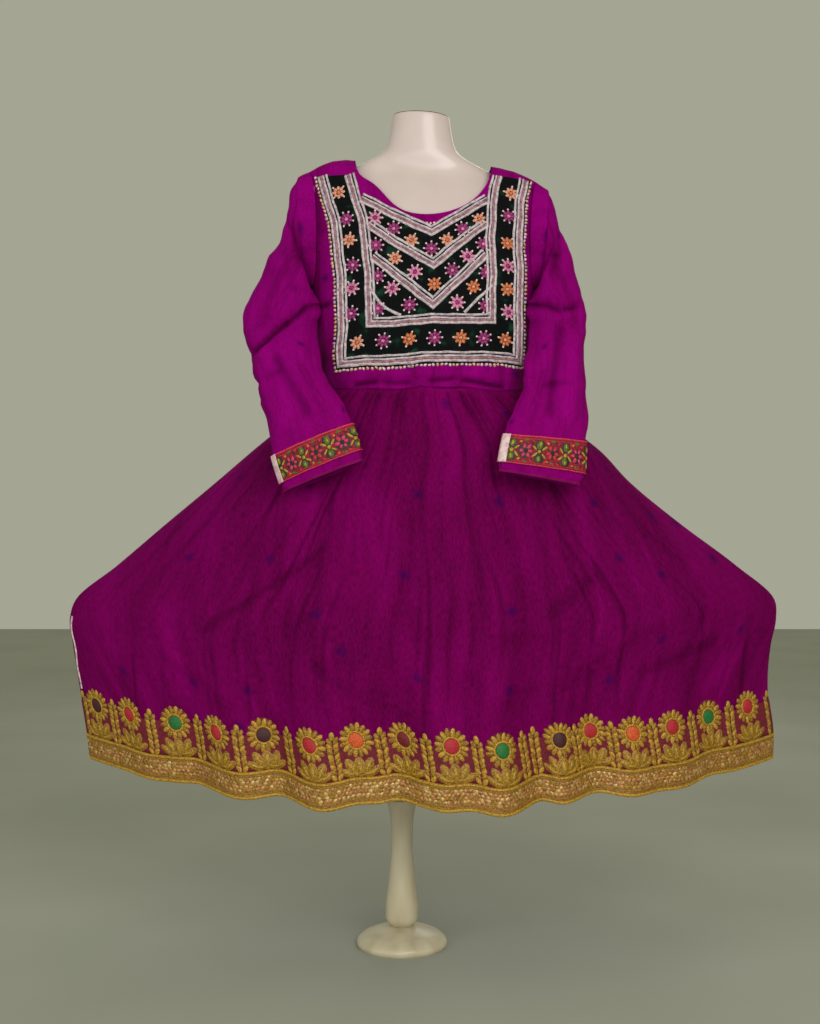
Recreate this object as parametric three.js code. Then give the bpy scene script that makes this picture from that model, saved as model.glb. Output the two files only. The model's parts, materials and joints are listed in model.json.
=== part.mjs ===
// A kuchi dress on a dress form: gathered skirt, bodice with an embroidered chest panel, wide
// sleeves with embroidered cuffs, and the pale form and turned stand that hold it up.
// Millimetres, +Z up. X runs to the viewer's right and Y runs back. The origin lies on the floor
// under the middle of the dress.
import * as THREE from 'three';

// Driving sizes
const CLOTH = 1.6;
const SEAM = 0.3;
const LAID_GAP = 0.42; // between a panel and what lies on it, measured at their points
const ARMHOLE_GAP = 0.6;
const UNDERARM_RISE = 3.4; // the sleeve's first ring clears the side seam's end by this much
const WAIST_Z = 1046;
const UNDERARM_Z = 1240;
const SHOULDER_TIP = { x: 217, z: 1452 };
const NECK_POINT = { x: 128, z: 1480 };
const FRONT_NECK_Z = 1368;
const BACK_NECK_Z = 1448;
const HEM_SIDE_Z = 355;
const SHOULDER_TILT = 0.045; // the viewer's right shoulder sits lower than the left
const CUFF_THICK = 1.8;
const BINDING_THICK = 0.9;
const PANEL_THICK = 1.6;
const CHEST_BRAID_RISE = 2.2;

// Counts of cells across and around
const FRONT_COLUMNS = 68; // four to each flower of the hem border
const BACK_COLUMNS = 51; // three to each flower
const BORDER_FLOWERS = 17;
const FRONT_MIDDLE_CELLS = 12; // of the bodice front, inside the chest panel's frame
const FRONT_OUTER_CELLS = 3; // from the chest panel to the side seam or armhole
const FRONT_SIDE_ROWS = 6; // from the waist to the underarm
const BACK_BODICE_COLUMNS = 20;
const BACK_NECK_COLUMNS = 6; // of the half width, from the middle to the neck point
const BACK_SIDE_ROWS = 3;
const BACK_ARMHOLE_ROWS = 8;

// Level sections of the bodice: half width, depth in front of and behind the side seams
const BODICE_SECTIONS = [
  { z: 1046, half: 192, front: 128, back: 105 },
  { z: 1120, half: 200, front: 135, back: 106 },
  { z: 1200, half: 208, front: 132, back: 108 },
  { z: 1280, half: 214, front: 118, back: 108 },
  { z: 1345, half: 217, front: 99, back: 101 },
  { z: 1400, half: 218, front: 83, back: 90 },
  { z: 1440, half: 218, front: 72, back: 81 },
  { z: 1452, half: 217, front: 68, back: 77 },
  { z: 1466, half: 172.5, front: 63, back: 70 },
  { z: 1480, half: 128, front: 57, back: 63 },
  { z: 1500, half: 92, front: 52, back: 56 },
];
const BODICE_ROUNDNESS = 2.3;

// Sections of the skirt, by the height of the side seam: its two side edges, its depth in front
// and behind, and how full (2.3) or lens-shaped (about 1) the section is
const SKIRT_SECTIONS = [
  { z: 1046, left: -192, right: 192, front: 128, back: 105, round: 2.3, full: 2.3 },
  { z: 1020, left: -224, right: 224, front: 140, back: 112, round: 2.15, full: 2.0 },
  { z: 985, left: -266, right: 274, front: 154, back: 131, round: 2.0, full: 1.75 },
  { z: 940, left: -321, right: 334, front: 170, back: 149, round: 1.9, full: 1.5 },
  { z: 880, left: -391, right: 391, front: 190, back: 173, round: 1.8, full: 1.35 },
  { z: 800, left: -487, right: 488, front: 211, back: 197, round: 1.7, full: 1.25 },
  { z: 720, left: -581, right: 595, front: 226, back: 215, round: 1.65, full: 1.2 },
  { z: 655, left: -660, right: 668, front: 235, back: 227, round: 1.6, full: 1.16 },
  { z: 620, left: -671, right: 671, front: 239, back: 232, round: 1.6, full: 1.15 },
  { z: 570, left: -665, right: 661, front: 244, back: 237, round: 1.6, full: 1.15 },
  { z: 488, left: -652, right: 655, front: 251, back: 244, round: 1.6, full: 1.15 },
  { z: 403, left: -638, right: 665, front: 257, back: 250, round: 1.6, full: 1.15 },
  { z: 355, left: -632, right: 664, front: 260, back: 252, round: 1.6, full: 1.15 },
];
const FRONT_ROW_Z = [1046, 1020, 985, 940, 880, 800, 720, 655, 590, 488, 403, 355];
const BACK_ROW_Z = [1046, 1000, 940, 860, 760, 655, 570, 488, 403, 355];
const BORDER_TOP_Z = 488;
const BRAID_TOP_Z = 403;
const HEM_BORDER = { foot: BRAID_TOP_Z, top: BORDER_TOP_Z, thickness: 1.3, raised: 1.2, trim: 0 };
const HEM_BRAID = { foot: HEM_SIDE_Z, top: BRAID_TOP_Z, thickness: 1.6, raised: 0, trim: 0.7 };
const SCALLOP = 8; // rise of the border's edge over each flower
const HEM_DROP = 43; // how much lower the hem hangs in the middle than at the side seams
const RIDGE_DROP = 0.38; // how much lower the hem hangs on a ridge than in a trough, to its depth

// Folds of the skirt: place across the hem from -1 to 1, half width there, how far the ridge
// stands out (a trough is negative), and how far down from the waist it starts, from 0 to 1
const FRONT_FOLDS = [
  { at: -0.8, wide: 0.05, out: 9, from: 0.35 },
  { at: -0.65, wide: 0.05, out: -11, from: 0.3 },
  { at: -0.53, wide: 0.06, out: 14, from: 0.15 },
  { at: -0.41, wide: 0.05, out: -14, from: 0.2 },
  { at: -0.3, wide: 0.06, out: 20, from: 0.1 },
  { at: -0.19, wide: 0.045, out: -9, from: 0.15 },
  { at: -0.09, wide: 0.06, out: -26, from: 0.05 },
  { at: 0.04, wide: 0.045, out: 8, from: 0.1 },
  { at: 0.185, wide: 0.065, out: 26, from: 0.05 },
  { at: 0.29, wide: 0.045, out: -15, from: 0.1 },
  { at: 0.35, wide: 0.045, out: 8, from: 0.25 },
  { at: 0.445, wide: 0.06, out: -19, from: 0.15 },
  { at: 0.56, wide: 0.06, out: 11, from: 0.25 },
  { at: 0.69, wide: 0.06, out: 12, from: 0.2 },
  { at: 0.79, wide: 0.05, out: -9, from: 0.35 },
];
const BACK_FOLDS = [
  { at: -0.76, wide: 0.06, out: 12, from: 0.3 },
  { at: -0.6, wide: 0.06, out: -13, from: 0.2 },
  { at: -0.46, wide: 0.065, out: 18, from: 0.1 },
  { at: -0.3, wide: 0.06, out: -18, from: 0.15 },
  { at: -0.13, wide: 0.07, out: 22, from: 0.05 },
  { at: 0.03, wide: 0.06, out: -24, from: 0.05 },
  { at: 0.19, wide: 0.065, out: 17, from: 0.1 },
  { at: 0.33, wide: 0.055, out: -15, from: 0.2 },
  { at: 0.48, wide: 0.065, out: 19, from: 0.1 },
  { at: 0.64, wide: 0.06, out: -12, from: 0.25 },
  { at: 0.78, wide: 0.055, out: 10, from: 0.35 },
];
const GATHER_DEPTH = 2.4;

// How far the armholes are cut in, in front and behind
const FRONT_ARMHOLE_DIP = 15;
const BACK_ARMHOLE_DIP = 12;

// Sleeve sections from just below the armhole to the hem: the point of the outer fold, the point
// of the inner fold, and half the flattened depth between front and back
const LEFT_SLEEVE = [
  { outer: [-236, -3, 1458], inner: [-225, -4, 1245], depth: 52 },
  { outer: [-250, -12, 1428], inner: [-219, -10, 1235], depth: 52 },
  { outer: [-254, -31, 1384], inner: [-210, -30, 1214], depth: 50 },
  { outer: [-263, -63, 1332], inner: [-198, -54, 1186], depth: 45 },
  { outer: [-319, -70, 1220], inner: [-192, -88, 1124], depth: 36 },
  { outer: [-331, -78, 1168], inner: [-188, -112, 1097], depth: 33 },
  { outer: [-317, -95, 1108], inner: [-182, -130, 1071], depth: 29 },
  { outer: [-280, -140, 978], inner: [-143, -184, 1012], depth: 24 },
  { outer: [-269, -157, 920], inner: [-126, -203, 976], depth: 22 },
  { outer: [-253, -168, 871], inner: [-111, -213, 929], depth: 21 },
  { outer: [-247, -171, 856], inner: [-107, -216, 910], depth: 20 },
];
const RIGHT_SLEEVE = [
  { outer: [235, -3, 1432], inner: [225, -4, 1245], depth: 52 },
  { outer: [245, -12, 1402], inner: [219, -10, 1234], depth: 52 },
  { outer: [253, -31, 1362], inner: [210, -30, 1213], depth: 50 },
  { outer: [264, -63, 1316], inner: [198, -54, 1184], depth: 45 },
  { outer: [294, -70, 1214], inner: [193, -88, 1121], depth: 36 },
  { outer: [296, -80, 1160], inner: [190, -112, 1090], depth: 33 },
  { outer: [292, -96, 1104], inner: [186, -130, 1058], depth: 29 },
  { outer: [293, -138, 992], inner: [154, -182, 990], depth: 24 },
  { outer: [288, -156, 947], inner: [140, -203, 957], depth: 22 },
  { outer: [284, -168, 889], inner: [130, -213, 909], depth: 21 },
  { outer: [272, -172, 868], inner: [133, -215, 892], depth: 20 },
];
const CUFF_TOP_ROW = LEFT_SLEEVE.length - 2; // counted with the armhole ring as row 0
const BINDING_CELLS = 2;

// The chest panel: its side edges by height
const PANEL_EDGES = [
  { z: 1046, left: -148, right: 172 },
  { z: 1088, left: -157, right: 184 },
  { z: 1180, left: -159, right: 184 },
  { z: 1270, left: -164, right: 185 },
  { z: 1350, left: -171, right: 188 },
  { z: 1400, left: -186, right: 191 },
  { z: 1450, left: -202, right: 199 },
];
const PANEL_TOP_Z = 1446;
const PANEL_LEVEL = 0.025; // turns the panel back towards level on the leaning bodice
// Distances in from a side edge: braid, black strip with flowers, braid
const PANEL_STRIPS = [0, 11, 22, 51, 62, 73];
const BRAID_HALF = 11;
// Rows of braid from the bottom up: height at the sides and at the point in the middle
const PANEL_BRAIDS = [
  { side: 1099, point: 1099 },
  { side: 1167, point: 1167 },
  { side: 1290, point: 1196 },
  { side: 1350, point: 1270 },
  { side: 1400, point: 1334 },
];

// Level sections of the dress form; middle is how far its axis stands from the dress's middle
const FORM_SECTIONS = [
  { z: 862, half: 118, front: 84, back: 84, middle: -34 },
  { z: 884, half: 140, front: 98, back: 98, middle: -33 },
  { z: 960, half: 150, front: 104, back: 106, middle: -29 },
  { z: 1040, half: 136, front: 90, back: 90, middle: -24 },
  { z: 1120, half: 142, front: 94, back: 88, middle: -19 },
  { z: 1200, half: 160, front: 104, back: 92, middle: -14 },
  { z: 1270, half: 176, front: 102, back: 96, middle: -9 },
  { z: 1330, half: 190, front: 93, back: 94, middle: -4 },
  { z: 1380, half: 200, front: 85, back: 91.5, middle: 0 },
  { z: 1415, half: 204, front: 73, back: 81, middle: 0 },
  { z: 1436, half: 201, front: 60, back: 68, middle: 0 },
  { z: 1450, half: 180, front: 50, back: 57, middle: 0 },
  { z: 1462, half: 150, front: 46, back: 52, middle: 0 },
  { z: 1474, half: 120, front: 47, back: 52, middle: 0 },
  { z: 1484, half: 101, front: 50, back: 53, middle: -1 },
  { z: 1492, half: 85, front: 51, back: 53, middle: -2 },
  { z: 1502, half: 71, front: 51, back: 53, middle: -3 },
  { z: 1518, half: 63, front: 50, back: 52, middle: -4 },
  { z: 1546, half: 58, front: 49, back: 50, middle: -4 },
  { z: 1570, half: 55, front: 48, back: 48, middle: -4 },
  { z: 1573, half: 53, front: 46, back: 46, middle: -4 },
];
const FORM_COLUMNS = 24;
const FORM_ROUNDNESS = 2.1;

// The stand: axis, then radii and heights
const STAND_X = -40;
const POLE_RADIUS = 12.5;
const POST_PROFILE = [
  { z: 37.3, radius: 20 },
  { z: 44, radius: 27 },
  { z: 56, radius: 31 },
  { z: 78, radius: 31 },
  { z: 110, radius: 27 },
  { z: 150, radius: 22.5 },
  { z: 200, radius: 20 },
  { z: 240, radius: 22 },
  { z: 268, radius: 27 },
  { z: 276, radius: 28 },
  { z: 282, radius: 20 },
];
const BASE_PROFILE = [
  { z: 0, radius: 84 },
  { z: 9, radius: 86 },
  { z: 20, radius: 76 },
  { z: 30, radius: 52 },
  { z: 37, radius: 24 },
];

// Colours and finishes
const PURPLE_CREPE = new THREE.MeshStandardMaterial({ color: 0x84006c, roughness: 0.62 });
const BLACK_COTTON = new THREE.MeshStandardMaterial({ color: 0x141a18, roughness: 0.8 });
const GOLD_THREAD = new THREE.MeshStandardMaterial({ color: 0xb98a2c, roughness: 0.45, metalness: 0.4 });
const SEQUIN_BRAID = new THREE.MeshStandardMaterial({ color: 0xb87f52, roughness: 0.4, metalness: 0.5 });
const RED_EMBROIDERY = new THREE.MeshStandardMaterial({ color: 0xb8202c, roughness: 0.7 });
const PALE_BINDING = new THREE.MeshStandardMaterial({ color: 0xe6b8bf, roughness: 0.7 });
const WHITE_PLASTIC = new THREE.MeshStandardMaterial({ color: 0xe4d9d4, roughness: 0.25 });
const CREAM_PAINT = new THREE.MeshStandardMaterial({ color: 0xd9cdb0, roughness: 0.4 });

const clamp01 = (value) => Math.min(1, Math.max(0, value));
const mix = (a, b, share) => a + (b - a) * share;
const smooth = (value) => clamp01(value) ** 2 * (3 - 2 * clamp01(value));

// Reads a table of sections at a height, between its rows
function sectionAt(table, z) {
  const rising = table[0].z < table[table.length - 1].z ? table : [...table].reverse();
  let i = 0;
  while (i < rising.length - 2 && rising[i + 1].z < z) i += 1;
  const low = rising[i];
  const high = rising[i + 1];
  const share = clamp01((z - low.z) / (high.z - low.z));
  const section = {};
  for (const key of Object.keys(low)) section[key] = mix(low[key], high[key], share);
  return section;
}

// How deep a rounded section is at a place across it, from -1 to 1
function roundedDepth(place, round, full) {
  const across = Math.min(1, Math.abs(place));
  return (1 - across ** round) ** (1 / full);
}

// The shoulders and all that they carry lean down to the viewer's right
function leaned(point) {
  const share = smooth((point.z - UNDERARM_Z) / (1440 - UNDERARM_Z));
  return new THREE.Vector3(point.x, point.y, point.z - SHOULDER_TILT * share * point.x);
}

// Normals of a grid of points, pointing along columns cross rows
function gridNormals(rows, wrap) {
  const last = rows[0].length - 1;
  return rows.map((row, r) => row.map((_, c) => {
    const before = wrap ? row[(c + last) % (last + 1)] : row[Math.max(0, c - 1)];
    const after = wrap ? row[(c + 1) % (last + 1)] : row[Math.min(last, c + 1)];
    const below = rows[Math.max(0, r - 1)][c];
    const above = rows[Math.min(rows.length - 1, r + 1)][c];
    const across = new THREE.Vector3().subVectors(after, before);
    const along = new THREE.Vector3().subVectors(above, below);
    return across.cross(along).normalize();
  }));
}

// Moves each point of a grid along its normal
function movedOut(rows, normals, distance) {
  return rows.map((row, r) => row.map((point, c) =>
    point.clone().addScaledVector(normals[r][c], distance)));
}

// The inner side of a wall. A point on a seam stays in the seam's plane, so that the pieces on
// both sides of it meet edge to edge.
function movedIn(rows, normals, thickness, seamPlane) {
  return rows.map((row, r) => row.map((point, c) => {
    const locked = seamPlane ? seamPlane(r, c) : '';
    const way = normals[r][c].clone();
    if (locked.includes('y')) way.y = 0;
    if (locked.includes('z')) way.z = 0;
    way.normalize();
    const stretch = 1 / Math.max(0.4, way.dot(normals[r][c]));
    return point.clone().addScaledVector(way, -thickness * stretch);
  }));
}

// A closed wall between two grids of points. has(row, column) leaves cells out.
function wall(name, material, outer, inner, { wrap = false, flip = false, has = () => true } = {}) {
  const width = outer[0].length;
  const cellsAcross = wrap ? width : width - 1;
  const cellsAlong = outer.length - 1;
  const isCell = (r, c) => {
    if (r < 0 || r >= cellsAlong) return false;
    if (!wrap && (c < 0 || c >= cellsAcross)) return false;
    return has(r, (c + width) % width);
  };
  const numbers = new Map();
  const positions = [];
  const vertex = (side, r, c) => {
    const column = c % width;
    const key = (side * outer.length + r) * width + column;
    if (!numbers.has(key)) {
      numbers.set(key, positions.length / 3);
      const point = (side ? inner : outer)[r][column];
      positions.push(point.x, point.y, point.z);
    }
    return numbers.get(key);
  };
  const triangles = [];
  const quad = (a, b, c, d) => {
    if (flip) triangles.push(a, c, b, a, d, c);
    else triangles.push(a, b, c, a, c, d);
  };
  for (let r = 0; r < cellsAlong; r += 1) {
    for (let c = 0; c < cellsAcross; c += 1) {
      if (!isCell(r, c)) continue;
      const corners = [[r, c], [r, c + 1], [r + 1, c + 1], [r + 1, c]];
      const o = corners.map(([row, column]) => vertex(0, row, column));
      const i = corners.map(([row, column]) => vertex(1, row, column));
      quad(o[0], o[1], o[2], o[3]);
      triangles.push(...(flip
        ? [i[0], i[1], i[2], i[0], i[2], i[3]]
        : [i[0], i[2], i[1], i[0], i[3], i[2]]));
      const beyond = [[r - 1, c], [r, c + 1], [r + 1, c], [r, c - 1]];
      for (let k = 0; k < 4; k += 1) {
        if (isCell(beyond[k][0], beyond[k][1])) continue;
        const next = (k + 1) % 4;
        quad(o[next], o[k], i[k], i[next]);
      }
    }
  }
  const geometry = new THREE.BufferGeometry();
  geometry.setAttribute('position', new THREE.Float32BufferAttribute(positions, 3));
  geometry.setIndex(triangles);
  geometry.computeVertexNormals();
  const mesh = new THREE.Mesh(geometry, material);
  mesh.name = name;
  return mesh;
}

// A piece that lies on another: its own wall, made from the other's points
function laidOn(name, material, rows, normals, lift, thickness, options) {
  const under = movedOut(rows, normals, lift);
  const over = movedOut(rows, normals, lift + thickness);
  return wall(name, material, over, under, options);
}

// Bodice

// The surface of the bodice at a place seen from the front (side -1) or from behind (side 1)
function bodicePoint(x, z, side) {
  const section = sectionAt(BODICE_SECTIONS, z);
  const deep = side < 0 ? section.front : section.back;
  const share = roundedDepth(x / section.half, BODICE_ROUNDNESS, BODICE_ROUNDNESS);
  return leaned(new THREE.Vector3(x, side * Math.max(SEAM / 2, deep * share), z));
}

// The outer edge of a bodice panel, seen from the front: side seam, then armhole. Half width, z.
function sideEdge(row, sideRows, armholeRows, dip) {
  if (row <= sideRows) {
    const z = mix(WAIST_Z + SEAM / 2, UNDERARM_Z, row / sideRows);
    return new THREE.Vector2(sectionAt(BODICE_SECTIONS, z).half, z);
  }
  const turn = Math.PI * (row - sideRows) / armholeRows;
  const z = mix(UNDERARM_Z, SHOULDER_TIP.z, (1 - Math.cos(turn)) / 2);
  const edge = mix(sectionAt(BODICE_SECTIONS, UNDERARM_Z).half, SHOULDER_TIP.x, turn / Math.PI);
  return new THREE.Vector2(edge - dip * Math.sin(turn) ** 0.8, z);
}

// Rows of the bodice front. Each follows the chest panel's rows of braid: level at its sides,
// and pointed in the middle.
function frontLevels() {
  const waist = WAIST_Z + SEAM / 2;
  const levels = [{ side: waist, point: waist }];
  for (const braid of PANEL_BRAIDS) {
    for (const shift of [-BRAID_HALF, 0, BRAID_HALF]) {
      levels.push({ side: braid.side + shift, point: braid.point + shift });
    }
  }
  const lastPoint = levels[levels.length - 1].point;
  levels.push({ side: PANEL_TOP_Z, point: mix(lastPoint, FRONT_NECK_Z, 0.5) });
  levels.push({ side: SHOULDER_TIP.z, point: FRONT_NECK_Z });
  return levels;
}

const LEVELS = frontLevels();
const FRONT_TOP_ROW = LEVELS.length - 1;
const PANEL_TOP_ROW = FRONT_TOP_ROW - 1;
const FRONT_ARMHOLE_ROWS = FRONT_TOP_ROW - FRONT_SIDE_ROWS;
const STRIP_CELLS = PANEL_STRIPS.length - 1;
const FRONT_BODICE_COLUMNS = 2 * (FRONT_OUTER_CELLS + STRIP_CELLS) + FRONT_MIDDLE_CELLS;
const SLEEVE_COLUMNS = FRONT_ARMHOLE_ROWS + BACK_ARMHOLE_ROWS;

// Height of the neck edge and the shoulder seam over a place seen from the front
function topLine(x, neckZ) {
  const away = Math.abs(x);
  if (away <= NECK_POINT.x) {
    const cosine = Math.sqrt(1 - (away / NECK_POINT.x) ** 2);
    return neckZ + (NECK_POINT.z - neckZ) * (1 - cosine);
  }
  const along = (away - NECK_POINT.x) / (SHOULDER_TIP.x - NECK_POINT.x);
  return mix(NECK_POINT.z, SHOULDER_TIP.z, along);
}

// A point of the bodice front inside the chest panel's columns. strip counts in from its edge.
function panelPlace(row, column, strip) {
  const level = LEVELS[row];
  const edges = sectionAt(PANEL_EDGES, level.side);
  const onLeft = column < FRONT_BODICE_COLUMNS / 2;
  const sign = onLeft ? -1 : 1;
  const edge = onLeft ? edges.left : edges.right;
  const inset = PANEL_STRIPS[STRIP_CELLS];
  const onTop = row === FRONT_TOP_ROW;
  if (strip <= STRIP_CELLS) {
    const inward = PANEL_STRIPS[strip];
    const x = onTop ? mix(edge, sign * NECK_POINT.x, inward / inset) : edge - sign * inward;
    return new THREE.Vector2(x, onTop ? topLine(x, FRONT_NECK_Z) : level.side);
  }
  const left = onTop ? -NECK_POINT.x : edges.left + inset;
  const right = onTop ? NECK_POINT.x : edges.right - inset;
  const across = (strip - STRIP_CELLS) / (FRONT_MIDDLE_CELLS / 2);
  const towards = 1 - Math.sin(Math.PI / 2 * (1 - across) ** 0.92);
  const middle = (left + right) / 2;
  const x = mix(onLeft ? left : right, middle, towards);
  const z = onTop ? topLine(x, FRONT_NECK_Z) : mix(level.side, level.point, towards);
  return new THREE.Vector2(x, z);
}

function frontBodicePoint(row, column) {
  const fromEnd = Math.min(column, FRONT_BODICE_COLUMNS - column);
  const strip = fromEnd - FRONT_OUTER_CELLS;
  const place = panelPlace(row, column, Math.max(0, strip));
  const level = row > 0 && row < FRONT_TOP_ROW ? PANEL_LEVEL : 0;
  place.y += level * place.x;
  if (strip >= 0) return bodicePoint(place.x, place.y, -1);
  const edge = sideEdge(row, FRONT_SIDE_ROWS, FRONT_ARMHOLE_ROWS, FRONT_ARMHOLE_DIP);
  const share = fromEnd / FRONT_OUTER_CELLS;
  const sign = Math.sign(place.x);
  const turnAt = (x, z) => Math.asin(Math.min(1, x / sectionAt(BODICE_SECTIONS, z).half));
  const turn = mix(turnAt(edge.x, edge.y), turnAt(Math.abs(place.x), place.y), share);
  const z = mix(edge.y, place.y, share);
  return bodicePoint(sign * Math.sin(turn) * sectionAt(BODICE_SECTIONS, z).half, z, -1);
}

function frontBodiceRows() {
  return LEVELS.map((_, row) => {
    const points = [];
    for (let column = 0; column <= FRONT_BODICE_COLUMNS; column += 1) {
      points.push(frontBodicePoint(row, column));
    }
    return points;
  });
}

// A point of the bodice back, spread between its four edges. share runs from -1 to 1.
function backBodicePoint(row, share) {
  const rows = BACK_SIDE_ROWS + BACK_ARMHOLE_ROWS;
  const away = Math.abs(share);
  const up = (row / rows) ** 0.9;
  const edgeAt = (at) => sideEdge(at, BACK_SIDE_ROWS, BACK_ARMHOLE_ROWS, BACK_ARMHOLE_DIP);
  const edge = edgeAt(row);
  const foot = edgeAt(0);
  const tip = edgeAt(rows);
  const neckShare = BACK_NECK_COLUMNS / (BACK_BODICE_COLUMNS / 2);
  const top = new THREE.Vector2();
  if (away <= neckShare) top.x = NECK_POINT.x * Math.sin(Math.PI / 2 * away / neckShare);
  else top.x = mix(NECK_POINT.x, SHOULDER_TIP.x, (away - neckShare) / (1 - neckShare));
  top.y = topLine(top.x, BACK_NECK_Z);
  const footX = foot.x * Math.sin(Math.PI / 2 * away);
  const x = away * (edge.x - mix(foot.x, tip.x, up)) + mix(footX, top.x, up);
  const z = away * (edge.y - mix(foot.y, tip.y, up)) + mix(foot.y, top.y, up);
  return bodicePoint(-Math.sign(share) * x, z, 1);
}

function backBodiceRows() {
  const rows = [];
  for (let row = 0; row <= BACK_SIDE_ROWS + BACK_ARMHOLE_ROWS; row += 1) {
    const points = [];
    for (let column = 0; column <= BACK_BODICE_COLUMNS; column += 1) {
      points.push(backBodicePoint(row, 2 * column / BACK_BODICE_COLUMNS - 1));
    }
    rows.push(points);
  }
  return rows;
}

const frontBodice = frontBodiceRows();
const backBodice = backBodiceRows();

// A bodice panel. Its points on the side and shoulder seams stay in the seams' plane.
function bodicePiece(name, rows, sideRows, shoulderCells) {
  const lastColumn = rows[0].length - 1;
  const seam = (row, column) => {
    const fromEnd = Math.min(column, lastColumn - column);
    const onShoulder = row === rows.length - 1 && fromEnd <= shoulderCells;
    const onSide = fromEnd === 0 && row <= sideRows;
    return (onShoulder || onSide ? 'y' : '') + (row === 0 ? 'z' : '');
  };
  return wall(name, PURPLE_CREPE, rows, movedIn(rows, gridNormals(rows, false), CLOTH, seam));
}

// Skirt

function foldHeight(folds, place, down) {
  let height = 0;
  for (const fold of folds) {
    const grown = smooth((down - fold.from) / (1 - fold.from));
    height += fold.out * grown * Math.exp(-(((place - fold.at) / fold.wide) ** 2));
  }
  return height;
}

// A point of the skirt. share runs from -1 at the left side seam to 1 at the right one.
function skirtPoint(share, sideZ, side, rise = 0) {
  const down = (WAIST_Z - sideZ) / (WAIST_Z - HEM_SIDE_Z);
  const section = sectionAt(SKIRT_SECTIONS, sideZ);
  const even = mix(0.85, 0.25, smooth(down / 0.5));
  const place = mix(share, Math.sin(Math.PI / 2 * share), even);
  const middle = (section.left + section.right) / 2;
  const x = middle + place * (section.right - section.left) / 2;
  const folds = side < 0 ? FRONT_FOLDS : BACK_FOLDS;
  const gathered = smooth(down / 0.05) * (1 - smooth((down - 0.1) / 0.4));
  const gather = GATHER_DEPTH * gathered * Math.cos(Math.PI * BORDER_FLOWERS * (share + 1));
  const inside = 1 - place ** 8;
  const fold = foldHeight(folds, place, down);
  const relief = (fold + gather) * inside;
  const deep = (side < 0 ? section.front : section.back)
    * roundedDepth(place, section.round, section.full);
  const drop = HEM_DROP * smooth(down / 0.85) * (1 - Math.abs(place) ** 2.4);
  const seam = sideZ === WAIST_Z ? SEAM / 2 : 0;
  const y = side * Math.max(SEAM / 2, deep + relief);
  const hang = RIDGE_DROP * fold * inside * smooth(down);
  return new THREE.Vector3(x, y, sideZ - drop - hang + rise - seam);
}

function skirtRows(side, rowZ, columns) {
  const perFlower = columns / BORDER_FLOWERS;
  return rowZ.map((z) => {
    const points = [];
    for (let column = 0; column <= columns; column += 1) {
      const share = -side * (2 * column / columns - 1);
      const wave = Math.cos(2 * Math.PI * (column / perFlower - 0.5));
      const rise = z === BORDER_TOP_Z ? SCALLOP * wave : 0;
      points.push(skirtPoint(share, z, side, rise));
    }
    return points;
  }).reverse();
}

const frontSkirt = skirtRows(-1, FRONT_ROW_Z, FRONT_COLUMNS);
const backSkirt = skirtRows(1, BACK_ROW_Z, BACK_COLUMNS);

function skirtPiece(name, rows) {
  const lastRow = rows.length - 1;
  const lastColumn = rows[0].length - 1;
  const seam = (row, column) =>
    (column === 0 || column === lastColumn ? 'y' : '') + (row === lastRow ? 'z' : '');
  return wall(name, PURPLE_CREPE, rows, movedIn(rows, gridNormals(rows, false), CLOTH, seam));
}

// A band on the skirt between two of its rows, raised over each flower. trim keeps its top
// edge clear of the band above it.
function skirtBand(name, material, rows, rowZ, { foot, top, thickness, raised, trim }) {
  const up = [...rowZ].reverse();
  const first = up.indexOf(foot);
  const last = up.indexOf(top);
  const normals = gridNormals(rows, false).slice(first, last + 1).map((row) =>
    row.map((normal, column) => {
      if (column === 0 || column === row.length - 1) normal.y = 0;
      return normal.normalize();
    }));
  const band = rows.slice(first, last + 1).map((row, r) => row.map((point, c) => {
    if (r < last - first) return point;
    const below = new THREE.Vector3().subVectors(rows[first + r - 1][c], point);
    return point.clone().add(below.setLength(trim));
  }));
  const perFlower = (band[0].length - 1) / BORDER_FLOWERS;
  const over = band.map((row, r) => row.map((point, c) => {
    const bloom = (1 + Math.cos(2 * Math.PI * (c / perFlower - 0.5))) / 2;
    const height = LAID_GAP + thickness + raised * bloom;
    return point.clone().addScaledVector(normals[r][c], height);
  }));
  return wall(name, material, over, movedOut(band, normals, LAID_GAP));
}

// Sleeves

// The ring of points where the sleeve meets the bodice, from the underarm over the front
function armholeRing(side) {
  const edgePoints = (rows, sideRows, atEnd) => {
    const normals = gridNormals(rows, false);
    const last = atEnd ? rows[0].length - 1 : 0;
    return rows.slice(sideRows).map((row, k) => {
      const r = sideRows + k;
      const above = rows[Math.min(r + 1, rows.length - 1)][last];
      const outward = new THREE.Vector3().subVectors(above, rows[r - 1][last])
        .cross(normals[r][last]).setLength(atEnd ? ARMHOLE_GAP : -ARMHOLE_GAP);
      outward.z += UNDERARM_RISE * clamp01((UNDERARM_Z + 30 - row[last].z) / 30);
      return row[last].clone().add(outward);
    });
  };
  const front = edgePoints(frontBodice, FRONT_SIDE_ROWS, side > 0);
  const back = edgePoints(backBodice, BACK_SIDE_ROWS, side < 0);
  const underarm = new THREE.Vector3(
    side * sectionAt(BODICE_SECTIONS, UNDERARM_Z).half, 0, UNDERARM_Z + UNDERARM_RISE);
  const tip = leaned(new THREE.Vector3(side * (SHOULDER_TIP.x + ARMHOLE_GAP), 0, SHOULDER_TIP.z));
  return [underarm, ...front.slice(1, -1), tip, ...back.slice(1, -1).reverse()];
}

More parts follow.
